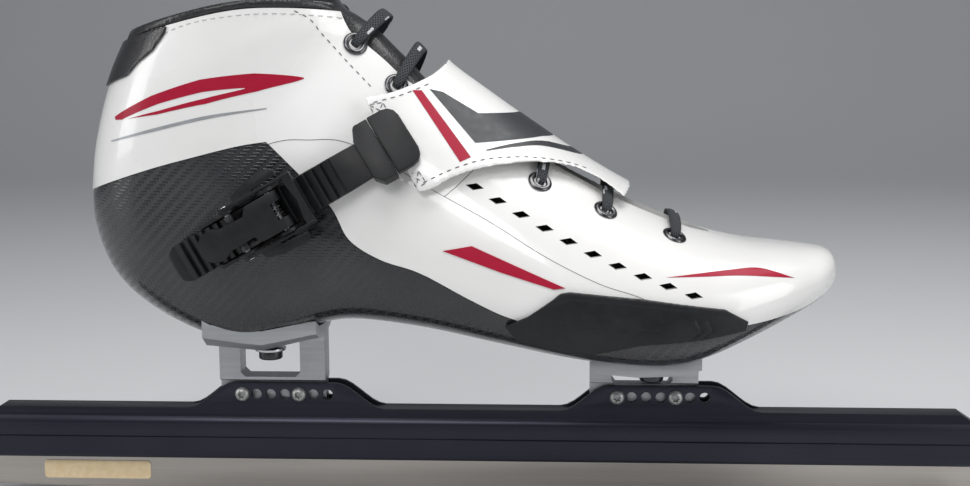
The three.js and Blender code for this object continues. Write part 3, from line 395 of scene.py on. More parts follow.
zinc = Finish("zinc_plate", Metallic=0.85)
zinc.varied(zinc.noise(1100, detail=3), (0.33, 0.33, 0.325, 1), (0.5, 0.5, 0.49, 1), 0.36, 0.5, 0.00003,
            0.4)
face = 5.3
screw = blank(spun([(0, face + 2), (1.4, face + 1.95), (2.3, face + 1.55), (2.85, face + 0.9),
    (3.1, face + 0.15),
                    (3.0, face), (1.9, face), (1.9, -face), (3.1, -face), (3.1, -face - 1.2),
                    (2.5, -face - 1.9), (0, -face - 1.9)], 32))
socket = blank(star(6, 1.65, 1.2, 1.9))
socket.data.transform(Matrix.Translation((0, 0, (face + 2) * MM)))
screw_mesh = carved(screw, (CUT, socket))
for number in range(4):
    low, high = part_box("tube_screw_%d" % (number + 1))
    fitted = screw_mesh.copy()
    fitted.transform(Matrix.Translation(((low.x + high.x) / 2, 0, 0.0436))
                     @ Matrix.Rotation(math.radians(90), 4, "X")
                     @ Matrix.Rotation(math.radians(37 * number), 4, "Z"))
    piece("star_screw_%d" % (number + 1), fitted, zinc,
          replaces=["tube_screw_%d" % (number + 1)], sharp=30)


# ---- Boot form
# The boot is moulded on a right-foot form. Its sections fan out from the toe to the collar: sole
# point and instep point in side view, middle, outer and inner half width, where it is widest, and
# how square its lower and upper halves are, in millimetres.
boot_sections = np.array([
    (148.6, 96.5, 148.6, 97.5, 4, 0.2, 0.2, 0.5, 2, 2),
    (147.4, 92, 147.6, 102, 4, 11, 11, 0.5, 2, 2),
    (144.6, 88, 145.2, 104.4, 4, 18.5, 18, 0.5, 2.2, 2.1),
    (138.5, 83.6, 139.5, 105.8, 3, 26, 25, 0.46, 2.3, 2.2),
    (127, 78.2, 127.5, 107.2, 2, 34, 33.5, 0.42, 2.5, 2.3),
    (111, 70.6, 112, 108.9, 1, 42.5, 41, 0.4, 2.5, 2.3),
    (95, 63.6, 97, 112.2, 0, 48.5, 45.5, 0.38, 2.4, 2.2),
    (80, 60.2, 81, 118, -1, 52, 47, 0.36, 2.4, 2.1),
    (60, 60.8, 61, 127.5, -2, 53, 46.5, 0.34, 2.4, 2),
    (37, 63.8, 41, 139.4, -3, 51.5, 44, 0.33, 2.4, 1.9),
    (10, 69, 20.9, 152.9, -4, 47, 40, 0.33, 2.4, 1.85),
    (-20, 74.6, 3.2, 165.4, -4, 42, 37, 0.34, 2.4, 1.85),
    (-50, 77, -11, 176, -4, 38.5, 35.5, 0.36, 2.3, 1.9),
    (-74, 71.4, -20, 185.5, -4, 37, 35, 0.38, 2.3, 1.9),
    (-98, 67.6, -27, 192.5, -4, 36.5, 34.5, 0.4, 2.3, 2),
    (-125, 77.4, -32.5, 198, -4, 36.5, 34.5, 0.42, 2.2, 2),
    (-145.3, 93.8, -37, 201.5, -4, 36.5, 34.5, 0.44, 2.1, 2),
    (-154.4, 116, -40.5, 203.8, -4, 36.5, 34.5, 0.46, 2.1, 2.1),
    (-154, 139, -43, 205.5, -4, 36.5, 35, 0.47, 2.1, 2.2),
    (-150.2, 159, -45, 206.5, -4, 36.5, 35.5, 0.48, 2.1, 2.2),
    (-144.2, 177.5, -46.5, 207.5, -4, 36, 35.5, 0.48, 2.1, 2.2),
    (-135.6, 196, -48, 210, -4, 35.5, 35.5, 0.48, 2.1, 2.2),
    (-132.5, 208, -49, 218, -4, 35.5, 35.5, 0.48, 2.1, 2.2)], dtype=float)
top_section = len(boot_sections) - 1


def skin_at(place, turn):
    """Points of the boot's skin: place runs toe to collar, turn goes round from the sole."""
    start = np.clip(np.floor(place).astype(int), 0, top_section - 1)
    t = (place - start)[..., None]
    a, b, c, d = (boot_sections[np.clip(start + k, 0, top_section)] for k in (-1, 0, 1, 2))
    q = 0.5 * (2 * b + (c - a) * t + (2 * a - 5 * b + 4 * c - d) * t * t + (3 * b - a - 3 * c + d) * t ** 3)
    q = np.moveaxis(q, -1, 0)
    up, side = -np.cos(turn * math.tau), np.sin(turn * math.tau)
    power = 2 / np.where(up < 0, q[8], q[9])
    rise = np.sign(up) * np.abs(up) ** power
    share = np.where(up < 0, q[7] * (1 + rise), q[7] + (1 - q[7]) * rise)
    half = np.where(side > 0, -q[5], q[6])
    return np.stack([q[0] + (q[2] - q[0]) * share, q[4] + half * np.abs(side) ** power,
                     q[1] + (q[3] - q[1]) * share], -1)


def out_of_skin(place, turn):
    step = 1e-3
    along = skin_at(np.minimum(place + step, top_section), turn) - skin_at(np.maximum(place - step, 0),
        turn)
    around = skin_at(place, turn + step) - skin_at(place, turn - step)
    normal = np.cross(around, along)
    return normal / np.linalg.norm(normal, axis=-1, keepdims=True)


def on_boot(place, turn, out=0.0):
    """Points in millimetres at a distance out from the skin."""
    place, turn = np.broadcast_arrays(np.asarray(place, float), np.asarray(turn, float))
    return skin_at(place, turn) + out_of_skin(place, turn) * np.asarray(out)[..., None]


def boot_form(out, rows=170, around=112):
    """The whole boot as a closed form, grown by a distance that may depend on the turn."""
    distance = out if callable(out) else lambda turn: np.full(turn.shape, float(out))
    form = bmesh.new()
    bmesh.ops.create_grid(form, x_segments=around, y_segments=rows, size=1)
    grid = np.array([(v.co.x, v.co.y) for v in form.verts])
    turn = np.round((grid[:, 0] + 1) / 2 * around) % around / around
    row = np.round((grid[:, 1] + 1) / 2 * rows)
    place = np.clip((row - 1) / (rows - 2), 0, 1) * top_section
    at = on_boot(place, turn, distance(turn))
    for end in (0, rows):
        s = np.array(0.0 if end == 0 else top_section)
        ends = [on_boot(s, np.array(t), distance(np.array(t))) for t in (0.0, 0.5)]
        at[row == end] = (ends[0] + ends[1]) / 2
    for vert, spot in zip(form.verts, at):
        vert.co = Vector(spot) * MM
    bmesh.ops.remove_doubles(form, verts=form.verts, dist=1e-6)
    bmesh.ops.recalc_face_normals(form, faces=form.faces)
    return form


def flowing(*points, steps=6):
    """A smooth line through [x, z] points."""
    p = np.array(points, float)
    p = np.vstack([p[0], p, p[-1]])
    line = []
    for i in range(1, len(p) - 2):
        a, b, c, d = p[i - 1:i + 3]
        for k in range(steps):
            t = k / steps
            line.append(0.5 * (2 * b + (c - a) * t + (2 * a - 5 * b + 4 * c - d) * t * t
                               + (3 * b - a - 3 * c + d) * t ** 3))
    return [tuple(q) for q in line] + [tuple(p[-1])]


def moved(line, distance):
    """A line moved sideways; a positive distance moves a line that runs to the toe upwards."""
    p = np.array(line, float)
    run = np.vstack([p[1] - p[0], p[2:] - p[:-2], p[-1] - p[-2]])
    run /= np.linalg.norm(run, axis=1)[:, None]
    return [tuple(q) for q in p + distance * np.stack([-run[:, 1], run[:, 0]], 1)]


def above(line, lift=0.12):
    return slab(moved(line, lift) + [(400, 900), (-400, 900)], (-120, 120))


def below(line, drop=0.12):
    return slab(moved(line, -drop) + [(400, -900), (-400, -900)], (-120, 120))


forms = {out: blank(boot_form(out)) for out in (0.42, 0.2, 0.0, -1.9, -2.2)}

# ---- Carbon shell
# The sole, heel and sides are one lay-up of carbon twill in epoxy. It is wide round the heel,
# drops under the white upper at the ankle and shows as a thin edge under the toes.
carbon_trim = [(-400, 70)] + flowing((-170, 124), (-147.7, 132.8), (-124, 140.6), (-105.2, 145.7),
                                     (-88, 149.9), (-76.4, 151.7)) + flowing(
    (-76.4, 151.7), (-64.1, 139.4), (-51.4, 126.3), (-44.5, 114), (-32.3, 106.4), (-16.6, 101.5),
    (2.8, 91.8), (18.9, 84.9), (42, 80), (78, 79), (109, 81.5), (123.2, 83.3), (136, 86.6),
    (150, 94.5))[1:] + [(400, 240)]
over_carbon, under_carbon = above(carbon_trim), below(carbon_trim)

twill = Finish("carbon_twill", Coat_Roughness=0.06, Roughness=0.32)
spot = twill.place()
x, y, z = (twill.axis(spot, number) for number in range(3))
facing = twill.node("NewGeometry", {}, {}, "Normal")
sideways = twill.axis(facing, 1).size() > 0.5
lying = twill.axis(facing, 2).size() > 0.8
wander = twill.noise(24, detail=2) * 2.4
tow = 0.00125
across = x * sideways + y * (1 - sideways)
up = z * (1 - lying) + y * lying
u = across / tow + wander
v = up / tow + wander * 0.7
warp = ((u.floor() - v.floor()) % 4) < 1.5
ridge_u = ((u % 1 - 0.5).size() * 2)
ridge_v = ((v % 1 - 0.5).size() * 2)
crown = warp * (1 - ridge_u * ridge_u) + (1 - warp) * (1 - ridge_v * ridge_v)
strands = twill.noise(1.0, twill.place((3000, 3000, 500)), 2)
resin = twill.ramp(twill.noise(9, detail=2), 0.42, 0.58, 0.25, 1.0)
# Painted sheen: the warp tows and fibre streaks are made paler in the base colour, standing in for light
# off the tows, though the fibre itself is evenly black. The resin patches dim this painted sheen at random.
pale = warp * 0.55 + strands * 0.3
twill.put(Base_Color=twill.mix(pale * resin, (0.004, 0.004, 0.005, 1), (0.026, 0.0275, 0.031, 1)))
twill.put(Roughness=warp * 0.2 + 0.22,
          Coat_Weight=twill.ramp(twill.noise(30, detail=3), 0.3, 0.7, 0.45, 0.85))
twill.bump(crown * resin, 0.00012, 0.9)
shell = carved(forms[0.0], (CUT, forms[-2.2]), (KEEP, under_carbon))
piece("carbon_boot_shell", shell, twill, replaces=["carbon_shell"])

# ---- Gloss white upper
# Coated microfibre in three panels a side: the quarter round the ankle, the side panel below the
# long seam, and the vamp over the toes, cut with a row of diamond air holes.
gloss = Finish("gloss_white", Coat_Roughness=0.05, IOR=1.5)
soft_wave = gloss.noise(38, detail=2)
grain = gloss.noise(1500, detail=2)
tone = gloss.noise(12, detail=4)
gloss.put(Base_Color=gloss.mix(gloss.ramp(tone, 0.35, 0.65), (0.8, 0.79, 0.77, 1),
    (0.87, 0.865, 0.85, 1)))
gloss.put(Roughness=gloss.ramp(tone, 0.3, 0.7, 0.2, 0.34),
          Coat_Weight=gloss.ramp(soft_wave, 0.3, 0.7, 0.5, 0.75))
gloss.bump(soft_wave * 0.9 + grain * 0.03, 0.0016, 0.35)

long_seam = [(-400, 60)] + flowing((-110, 136), (-76.4, 150.6), (-60, 152.4), (-43, 150.4),
    (-12.1, 133.4),
                                   (10.9, 121.3), (31.5, 109), (51.9, 99.1), (68.4, 93.5), (90, 83),
                                   (112, 72)) + [(400, -60)]
ankle_join = [(-400, -110)] + flowing((-36, 110), (3, 140), (24, 175)) + [(400, 700)]
collar_line = [(-400, 60)] + flowing((-140, 190), (-109.6, 197.8), (-87.7, 202.2), (-70, 203),
                                     (-52.8, 202.1), (-39.4, 200.2)) + [(400, 130)]
throat = [(97, -4), (97, 0), (89, 7), (60, 11), (20, 13), (-20, 14), (-62, 15), (-62, -23),
          (-20, -22), (20, -19), (60, -15), (89, -9)]


def plan_prism(outline, z0, z1):
    """A prism of an [x, y] outline in millimetres."""
    form = bmesh.new()
    face = form.faces.new([form.verts.new(Vector((x, y, z0)) * MM) for x, y in outline])
    run = bmesh.ops.extrude_face_region(form, geom=[face])
    lifted = [v for v in run["geom"] if isinstance(v, bmesh.types.BMVert)]
    bmesh.ops.translate(form, verts=lifted, vec=(0, 0, (z1 - z0) * MM))
    bmesh.ops.recalc_face_normals(form, faces=form.faces)
    return form


def distances(points):
    """How far along a line each of its points is."""
    return np.concatenate([[0], np.cumsum(np.linalg.norm(np.diff(points, axis=0), axis=1))])


throat_room = blank(plan_prism(throat, 80, 260))
outer_half = slab([(-400, -50), (400, -50), (400, 400), (-400, 400)], (-120, -4.1))
inner_half = slab([(-400, -50), (400, -50), (400, 400), (-400, 400)], (-3.9, 120))
hole_line = flowing((4.3, 134.5), (31.2, 119.2), (58.3, 105.5), (87.8, 93.9), steps=12)
hole_reach = distances(np.array(hole_line))
holes = []
for i in range(10):
    cx, cz = (np.interp(hole_reach[-1] * i / 9, hole_reach, np.array(hole_line)[:, n]) for n in (0, 1))
    holes.append([(cx + a, cz + b) for a, b in ((-3.6, 0.7), (-0.7, -1.3), (3.6, -0.7), (0.7, 1.3))])
hole_cuts = [(CUT, slab(hole, (-120, 120))) for hole in holes]

over_seam, under_seam = above(long_seam), below(long_seam)
quarter = linked("quarter_blank", carved(
    forms[0.42], (CUT, forms[-1.9]), (KEEP, over_carbon), (KEEP, over_seam),
    (KEEP, above(ankle_join)), (KEEP, below(collar_line)), (CUT, throat_room)))
vamp = carved(forms[0.42], (CUT, forms[-1.9]), (KEEP, over_carbon),
              (KEEP, over_seam), (KEEP, below(ankle_join)), (CUT, throat_room),
              *hole_cuts)
panel = linked("panel_blank", carved(forms[0.2], (CUT, forms[-1.9]),
                                     (KEEP, over_carbon), (KEEP, under_seam)))
spare += [quarter, panel]
piece("gloss_vamp", vamp, gloss, replaces=["vamp"])
for side, half in (("outer", outer_half), ("inner", inner_half)):
    piece("gloss_quarter_" + side, carved(quarter, (KEEP, half)), gloss,
          replaces=["quarter_" + side])
    piece("gloss_side_panel_" + side, carved(panel, (KEEP, half)), gloss,
          replaces=["side_panel_" + side])

# ---- Collar and its padding
# A rolled black rim is bound over the edge of the ankle, with a foam-backed mesh lining inside it.
# Both are open at the front, where the tongue comes up between them.
def softened(shape, voxel, rounds):
    """A padded copy: remade in even cells, then relaxed so that its edges turn over softly."""
    made = linked("soft_blank", shape)
    cells = made.modifiers.new("cells", "REMESH")
    cells.mode = "VOXEL"
    cells.voxel_size = voxel * MM
    relax = made.modifiers.new("relax", "SMOOTH")
    relax.factor = 0.5
    relax.iterations = rounds
    spare.append(made)
    return carved(made)


leather = Finish("black_leather", Coat_Roughness=0.15, IOR=1.45)
pebble = leather.node("TexVoronoi", {"feature": "DISTANCE_TO_EDGE"},
    {"Vector": leather.place(), "Scale": 620})
crease = leather.noise(55, detail=5)
leather.put(Base_Color=leather.mix(crease, (0.006, 0.006, 0.007, 1), (0.022, 0.022, 0.024, 1)))
leather.put(Roughness=leather.ramp(crease, 0.3, 0.7, 0.26, 0.44),
            Coat_Weight=leather.ramp(crease, 0.3, 0.7, 0.5, 0.2))
leather.bump(leather.ramp(pebble, 0, 0.16) * 0.18 + crease, 0.0006, 0.6)

knit = Finish("black_mesh", Roughness=0.95)
loops_at = knit.place((4200, 4200, 4200))
loops = knit.axis(loops_at, 0).sine() * knit.axis(loops_at, 2).sine()
pile = knit.noise(900, detail=3)
knit.put(Base_Color=knit.mix(knit.ramp(loops, -1, 1), (0.008, 0.008, 0.009, 1),
    (0.035, 0.035, 0.038, 1)))
knit.put(Roughness=knit.ramp(pile, 0.3, 0.7, 0.8, 1)).bump(loops * 0.5 + pile, 0.0003, 0.7)

for out in (-7.3, -5.4, -8.7, -4.8, -6.8, 0.32, 2.3):
    forms[out] = blank(boot_form(out, 130, 88))
tongue_plan = [(x + (10 if x > 60 else 0), y + (20 if y > -3 else -20)) for x, y in throat]
tongue_room = blank(plan_prism(tongue_plan, 98, 300))
rim = carved(blank(boot_form(0.5, 130, 88)), (CUT, forms[-7.3]), (KEEP, above(collar_line)),
             (KEEP, below(moved(collar_line, 3.4))), (CUT, throat_room))
binding = piece("collar_roll", softened(rim, 0.8, 5), leather,
    replaces=["collar_binding"])
pad_line = [(-400, 60)] + flowing((-150, 168), (-80, 176), (-20, 168)) + [(400, 60)]
pad = carved(forms[-1.9], (CUT, forms[-7.3]), (KEEP, below(moved(collar_line, -0.3), 0.3)),
             (KEEP, above(pad_line)), (CUT, tongue_room))
lining = piece("collar_lining", softened(pad, 1.1, 4), knit, replaces=["collar_padding"])

# ---- Liner, footbed and tongue
# A thin knitted liner and a foam footbed lie in the shell. The tongue is glossy black leather on
# foam; it fills the throat under the lace and stands a little above the collar.
inside = carved(forms[-4.8], (CUT, forms[-6.8]), (KEEP, below(pad_line)),
                (CUT, tongue_room))
piece("knitted_liner", inside, knit, replaces=["liner"])
bed = blank(boot_form(-7.2, 90, 64))
lifted = blank(boot_form(-7.2, 90, 64))
lifted.data.transform(Matrix.Translation((0, 0, 3 * MM)))
bed_room = slab([(-132, 40), (118, 40), (118, 92), (-132, 92)], (-60, 60))
footbed = carved(bed, (CUT, lifted), (KEEP, bed_room))
piece("foam_footbed", footbed, knit, replaces=["footbed"])
tongue = carved(forms[-5.4], (CUT, forms[-8.7]), (KEEP, tongue_room),
                (KEEP, below(moved(collar_line, 9))))
piece("padded_tongue", softened(tongue, 1.0, 6), leather,
    replaces=["tongue"])

# ---- Heel tab and side guards
# A black leather tab wraps the top of the heel. A moulded guard on each side of the ball takes
# the knocks from the ice; it has a raised lip, two sunk lines and two cut chevrons at the front.
heel_tab = [(-160, 168), (-132.3, 177.1), (-127.1, 182.1), (-120.3, 186.8), (-114.9, 193.6),
            (-112, 205), (-160, 205)]
tab = carved(blank(boot_form(1.5, 130, 88)), (CUT, forms[0.32]), (KEEP, slab(heel_tab, (-120, 120))),
             (KEEP, below(collar_line)))
piece("heel_tab_leather", softened(tab, 0.5, 4), leather, replaces=["heel_tab"])

moulded = Finish("moulded_black", IOR=1.4)
spark = moulded.noise(2400, detail=2)
scuff = moulded.noise(60, detail=6, rough=0.65)
moulded.put(Base_Color=moulded.mix(moulded.ramp(scuff, 0.45, 0.75), (0.006, 0.0063, 0.0072, 1),
    (0.017, 0.0176, 0.0195, 1)))
moulded.put(Roughness=moulded.ramp(scuff, 0.3, 0.7, 0.36, 0.52)).bump(spark, 0.00006, 0.5)
guard_line = [(16.1, 82), (25.1, 86.5), (34.6, 93.4), (37.4, 95.7), (41, 96.3), (68.4, 93.5),
    (99.8, 88.6), (109, 83.2),
              (108, 79.6), (90.2, 77.2), (67.4, 75.8), (48.7, 71.2), (41.8, 71.1), (21.2, 74.5)]
lip_line = [(31, 90.6), (34.6, 93.4), (37.4, 95.7), (41, 96.3), (68.4, 93.5), (99.8, 88.6),
            (102.5, 86.9), (68, 91.4), (42, 94), (37, 92.6)]
cuts = []
for groove in ([(84, 76.8), (90, 81.2), (88, 85.4), (89, 85.4), (91.2, 81), (85.4, 76.8)],
               [(88.5, 77), (94.5, 81.2), (92.5, 85), (93.5, 85), (95.7, 81), (89.9, 77)],
               [(40, 87.6), (80, 84.6), (80, 84.0), (40, 87.0)],
               [(36, 84.6), (76, 81.6), (76, 81.0), (36, 84.0)]):
    cuts.append((CUT, slab(groove, (-120, 120))))
floor_of_grooves = blank(boot_form(1.7, 130, 88))
body_of_guard = linked("guard_blank", carved(forms[2.3], (CUT, floor_of_grooves),
                       (KEEP, slab(guard_line, (-120, 120))), *cuts))
base_of_guard = linked("guard_base", carved(floor_of_grooves, (CUT, forms[0.32]),
                       (KEEP, slab(guard_line, (-120, 120)))))
lip_of_guard = linked("guard_lip", carved(blank(boot_form(2.9, 130, 88)), (CUT, floor_of_grooves),
                      (KEEP, slab(lip_line, (-120, 120)))))
spare += [body_of_guard, base_of_guard, lip_of_guard]
guard = linked("guard_whole", carved(base_of_guard, ("UNION", body_of_guard), ("UNION", lip_of_guard)))
spare.append(guard)
for side, half in (("outer", outer_half), ("inner", inner_half)):
    part = carved(guard, (KEEP, half))
    piece("side_guard_" + side, softened(part, 0.45, 2), moulded,
          replaces=["side_bumper_" + side])

# ---- Printed shapes
# Crimson and grey shapes are printed on the panels as thin raised films, the same on both sides:
# a wedge low on the vamp, a sweep at the toe, and a sweep over a fine line round the ankle.
crimson = Finish("crimson_film", Coat_Weight=0.12, Coat_Roughness=0.15, Specular_IOR_Level=0.25)
crimson.varied(crimson.noise(300, detail=4), (0.34, 0.003, 0.026, 1), (0.41, 0.005, 0.034, 1), 0.4,
    0.52, 0.00003, 0.4)
charcoal = Finish("charcoal_film", Coat_Weight=0.15, Coat_Roughness=0.3)
charcoal.varied(charcoal.noise(300, detail=4), (0.018, 0.019, 0.023, 1), (0.03, 0.032, 0.037, 1), 0.42,
    0.58, 0.00003, 0.4)
silver_ink = Finish("silver_film", Metallic=0.3)
silver_ink.varied(silver_ink.noise(300, detail=4), (0.3, 0.31, 0.33, 1), (0.42, 0.43, 0.45, 1), 0.3,
    0.45, 0.00003, 0.4)
film_top = blank(boot_form(0.55, 170, 112))
film_low = blank(boot_form(0.1, 130, 88))
wedge = [(-7.6, 110.5), (3.6, 112.6), (39.1, 97.6), (35, 97), (14.4, 103.1)]
toe_sweep = flowing((77.6, 100.8), (100.9, 102.1), (114.6, 102.1), (128, 98)) + flowing((128, 98),
    (108.2, 100), (92, 100.4), (77.6, 100.8))[1:-1]


def sweep_band(points, widths):
    """An outline that runs along a smooth line with a width at each point."""
    line = flowing(*points)
    wide = np.interp(np.linspace(0, 1, len(line)), np.linspace(0, 1, len(widths)), widths)
    p = np.array(line)
    run = np.gradient(p, axis=0)
    run /= np.linalg.norm(run, axis=1)[:, None]
    side = np.stack([-run[:, 1], run[:, 0]], 1) * wide[:, None] / 2
    return [tuple(q) for q in p + side] + [tuple(q) for q in (p - side)[::-1]]


upper_band = sweep_band([(-138, 160.5), (-120, 166), (-100, 171.2), (-80, 174.6), (-62, 176)],
    [1.2, 7.5, 9.5, 7, 0.5])
inner_band = sweep_band([(-134, 160.2), (-118, 165.2), (-100, 169.8), (-84, 172.4)],
    [0.3, 2.6, 2.6, 0.3])
lower_band = sweep_band([(-140, 151.5), (-120, 156.5), (-98, 161.5), (-76, 164.6)],
    [0.5, 1.3, 1.3, 0.4])
print_list = (("crimson_wedge", wedge, crimson), ("crimson_toe_sweep", toe_sweep, crimson),
              ("crimson_ankle_sweep", upper_band, crimson), ("grey_ankle_line", lower_band, silver_ink))
for name, shape, paint in print_list:
    for side, depth in (("outer", (-120, -4)), ("inner", (-4, 120))):
        cuts = [(CUT, film_low), (KEEP, slab(shape, depth))]
        if name == "crimson_ankle_sweep":
            cuts.append((CUT, slab(inner_band, depth)))
        piece(name + "_" + side, carved(film_top, *cuts), paint)

# ---- Instep strap
# A padded strap of the same white microfibre. It is riveted to the shell low on the inner side,
# lies over the laced throat, and ends under the buckle's cap on the outer side.
def strap_out(turn, extra=0.0):
    rise = np.clip((np.minimum(turn, 1 - turn) - 0.25) / 0.09, 0, 1)
    return 0.5 + 4.1 * rise * rise * (3 - 2 * rise) + extra


strap_front = [(62, 129), (52.6, 135.8), (41.5, 141)]
strap_sky = [(-4, 240), (160, 240)]
strap_outer = flowing(*strap_front, (27.6, 143.4), (10.5, 142.4), (-2.7, 139), (-11.4, 134.4),
                      (-16.6, 133))
strap_outer += flowing((-38.6, 168.6), (-30.5, 169.9), (-22, 172.7), (-15.2, 175.9), (-10.6, 179.3),
                       (-7.2, 183.4)) + strap_sky
strap_inner = flowing(*strap_front, (27.6, 142.4), (10.5, 137.4), (-8, 128), (-30, 113), (-54, 98),
                      (-64, 96), (-76, 97), (-86, 103), (-89, 113), (-84, 122), (-60, 146),
                      (-32, 166.5), (-17, 176), (-7.2, 183.4)) + strap_sky
strap_top = blank(boot_form(lambda t: strap_out(t, 2.0)))
strap_low = blank(boot_form(lambda t: strap_out(t)))
strap_halves = [linked("strap_half", carved(strap_top, (CUT, strap_low), (KEEP, slab(line, depth))))
                for line, depth in ((strap_outer, (-120, -4)), (strap_inner, (-4.02, 120)))]
spare += strap_halves
strap_whole = carved(strap_halves[0], ("UNION", strap_halves[1]))
strap = piece("padded_strap", softened(strap_whole, 0.75, 5), gloss,
    replaces=["instep_strap"])
strap_film_top = blank(boot_form(lambda t: strap_out(t, 2.18)))
strap_film_low = blank(boot_form(lambda t: strap_out(t, 1.2)))
for name, shape, paint in (
        ("strap_stripe", [(-20.2, 171.2), (-16.8, 171.1), (3.0, 146.0), (-1.1, 144.3)], crimson),
        ("strap_plane", [(-13.8, 171.5), (-8.8, 170.3), (5, 162), (20, 161.5), (34, 158), (46, 151),
            (30, 152.5), (4.4, 151.2)], charcoal),
        ("strap_line", sweep_band([(8.7, 148.4), (20, 150.0), (32, 149.6), (52, 142.5)],
                [0.3, 1.3, 1.6, 0.6]), charcoal)):
    piece(name, carved(strap_film_top, (CUT, strap_film_low), (KEEP, slab(shape, (-120, -4.5)))),
          paint)
rivet = eased("strap_anchor_rivet", 0.0003, 2)
piece("anchor_rivet_black", rivet, black_steel, replaces=["strap_anchor_rivet"])

# ---- Stitching
# Grey bonded thread holds the facings and the strap in short sunk stitches, with crossed boxes at
# the strap's end. A white thread runs along the collar's edge and beside the lower eyelets.
thread = Finish("grey_thread", Roughness=0.7)
thread.varied(thread.noise(1.0, thread.place((2500, 2500, 2500)), 2), (0.09, 0.09, 0.092, 1),
    (0.26, 0.26, 0.265, 1), 0.55, 0.85, 0.00008, 0.6)
white_thread = Finish("white_thread", Roughness=0.6)
white_thread.varied(white_thread.noise(1.0, white_thread.place((2500, 2500, 2500)), 2),
    (0.4, 0.4, 0.39, 1), (0.75, 0.74, 0.72, 1), 0.5, 0.8, 0.00008, 0.6)


def skin_of(*names):
    """The surfaces of finished pieces, for laying thread on them."""
    form = bmesh.new()
    for name in names:
        form.from_mesh(bpy.data.objects[name].data)
    tree = BVHTree.FromBMesh(form)
    form.free()
    return tree


def sewn(name, surface, lines, paint, side=-1, pitch=3.3, length=2.1, wide=0.55):
    """Stitches along [x, z] lines, laid on a surface as seen from one side."""
    thread_work = bmesh.new()
    for line in lines:
        p = np.array(line, float)
        reach = distances(p)
        count = max(int(reach[-1] / pitch), 1)
        for i in range(count):
            ends = []
            for along in ((i + 0.5) * pitch - length / 2, (i + 0.5) * pitch + length / 2):
                cx, cz = (np.interp(along, reach, p[:, n]) for n in (0, 1))
                start = Vector((cx * MM, side * 0.12, cz * MM))
                ends.append(surface.ray_cast(start, Vector((0, -side, 0)), 0.24))
            if ends[0][0] is None or ends[1][0] is None or (ends[0][0] - ends[1][0]).length > 0.006:
                continue
            run = ends[1][0] - ends[0][0]
            lift = (ends[0][1] + ends[1][1]).normalized()
            if lift.y * side < 0.05:
                continue
            ahead = (run - lift * run.dot(lift)).normalized()
            pose = Matrix((ahead * (run.length / 2), lift.cross(ahead) * (wide * MM / 2),
                lift * (0.25 * MM))).transposed().to_4x4()
            pose.translation = (ends[0][0] + ends[1][0]) / 2 + lift * 0.06 * MM
            bmesh.ops.create_icosphere(thread_work, subdivisions=1, radius=1, matrix=pose)
    return piece(name, thread_work, paint, sharp=180)


facing_row = flowing((-66, 202.2), (-59.6, 198.6), (-55.4, 192.9), (-46.7, 183), (-40.8, 176.8),
    (-35.1, 170.9))
throat_row = flowing((-36.5, 194.5), (-29.2, 185.7), (-25.3, 181.4), (-20.9, 176.9), (-14, 171))
collar_row = flowing((-122, 190.5), (-110.5, 195.4), (-100.5, 198.2), (-85, 200.3), (-70.3, 200.8),
    (-53, 199.6), (-42.5, 198))
front_row = flowing((20, 148), (33, 140.5), (50, 131.5), (70, 123), (90, 115.5))
strap_top_row = flowing((-35.5, 166.5), (-32.6, 167.3), (-25.9, 168.9), (-19.2, 171.3), (-12.6, 174.2))
strap_low_row = flowing((-15.6, 136.2), (-4.8, 141.3), (6.4, 144.7), (16, 145.6), (27, 145.2),
    (40, 142.6), (50, 138.8))
for side, way in (("outer", -1), ("inner", 1)):
    upper_skin = skin_of("gloss_quarter_" + side, "gloss_vamp", "gloss_side_panel_" + side)
    sewn("facing_stitches_" + side, upper_skin, [facing_row, throat_row], thread, way)
    sewn("collar_stitches_" + side, upper_skin, [collar_row, front_row], white_thread, way, 3.3, 2.3,
         0.6)
strap_skin = skin_of("padded_strap")
sewn("strap_stitches", strap_skin, [strap_top_row, strap_low_row], thread)
crosses = []
for (x0, z0), (x1, z1), (x2, z2), (x3, z3) in (
        ((-36.4, 165.9), (-31.2, 166.7), (-28.2, 161.6), (-33.4, 160.4)),
        ((-20.6, 139.4), (-16.9, 141.2), (-13.8, 136.6), (-17.4, 134.6))):
    crosses += [[(x0, z0), (x1, z1)], [(x1, z1), (x2, z2)], [(x2, z2), (x3, z3)], [(x3, z3), (x0, z0)],
                [(x0, z0), (x2, z2)], [(x1, z1), (x3, z3)]]
sewn("strap_cross_stitches", strap_skin, crosses, thread, -1, 2.6, 2.3, 0.5)
sewn("strap_inner_stitches", strap_skin,
     [flowing((50, 137), (40, 139), (27, 139.6), (11, 134.6), (-7, 125.6), (-29, 111), (-54, 101),
         (-74, 100.4)),
      flowing((-14, 171), (-31, 164), (-60, 142.5), (-81, 121))], thread, 1)

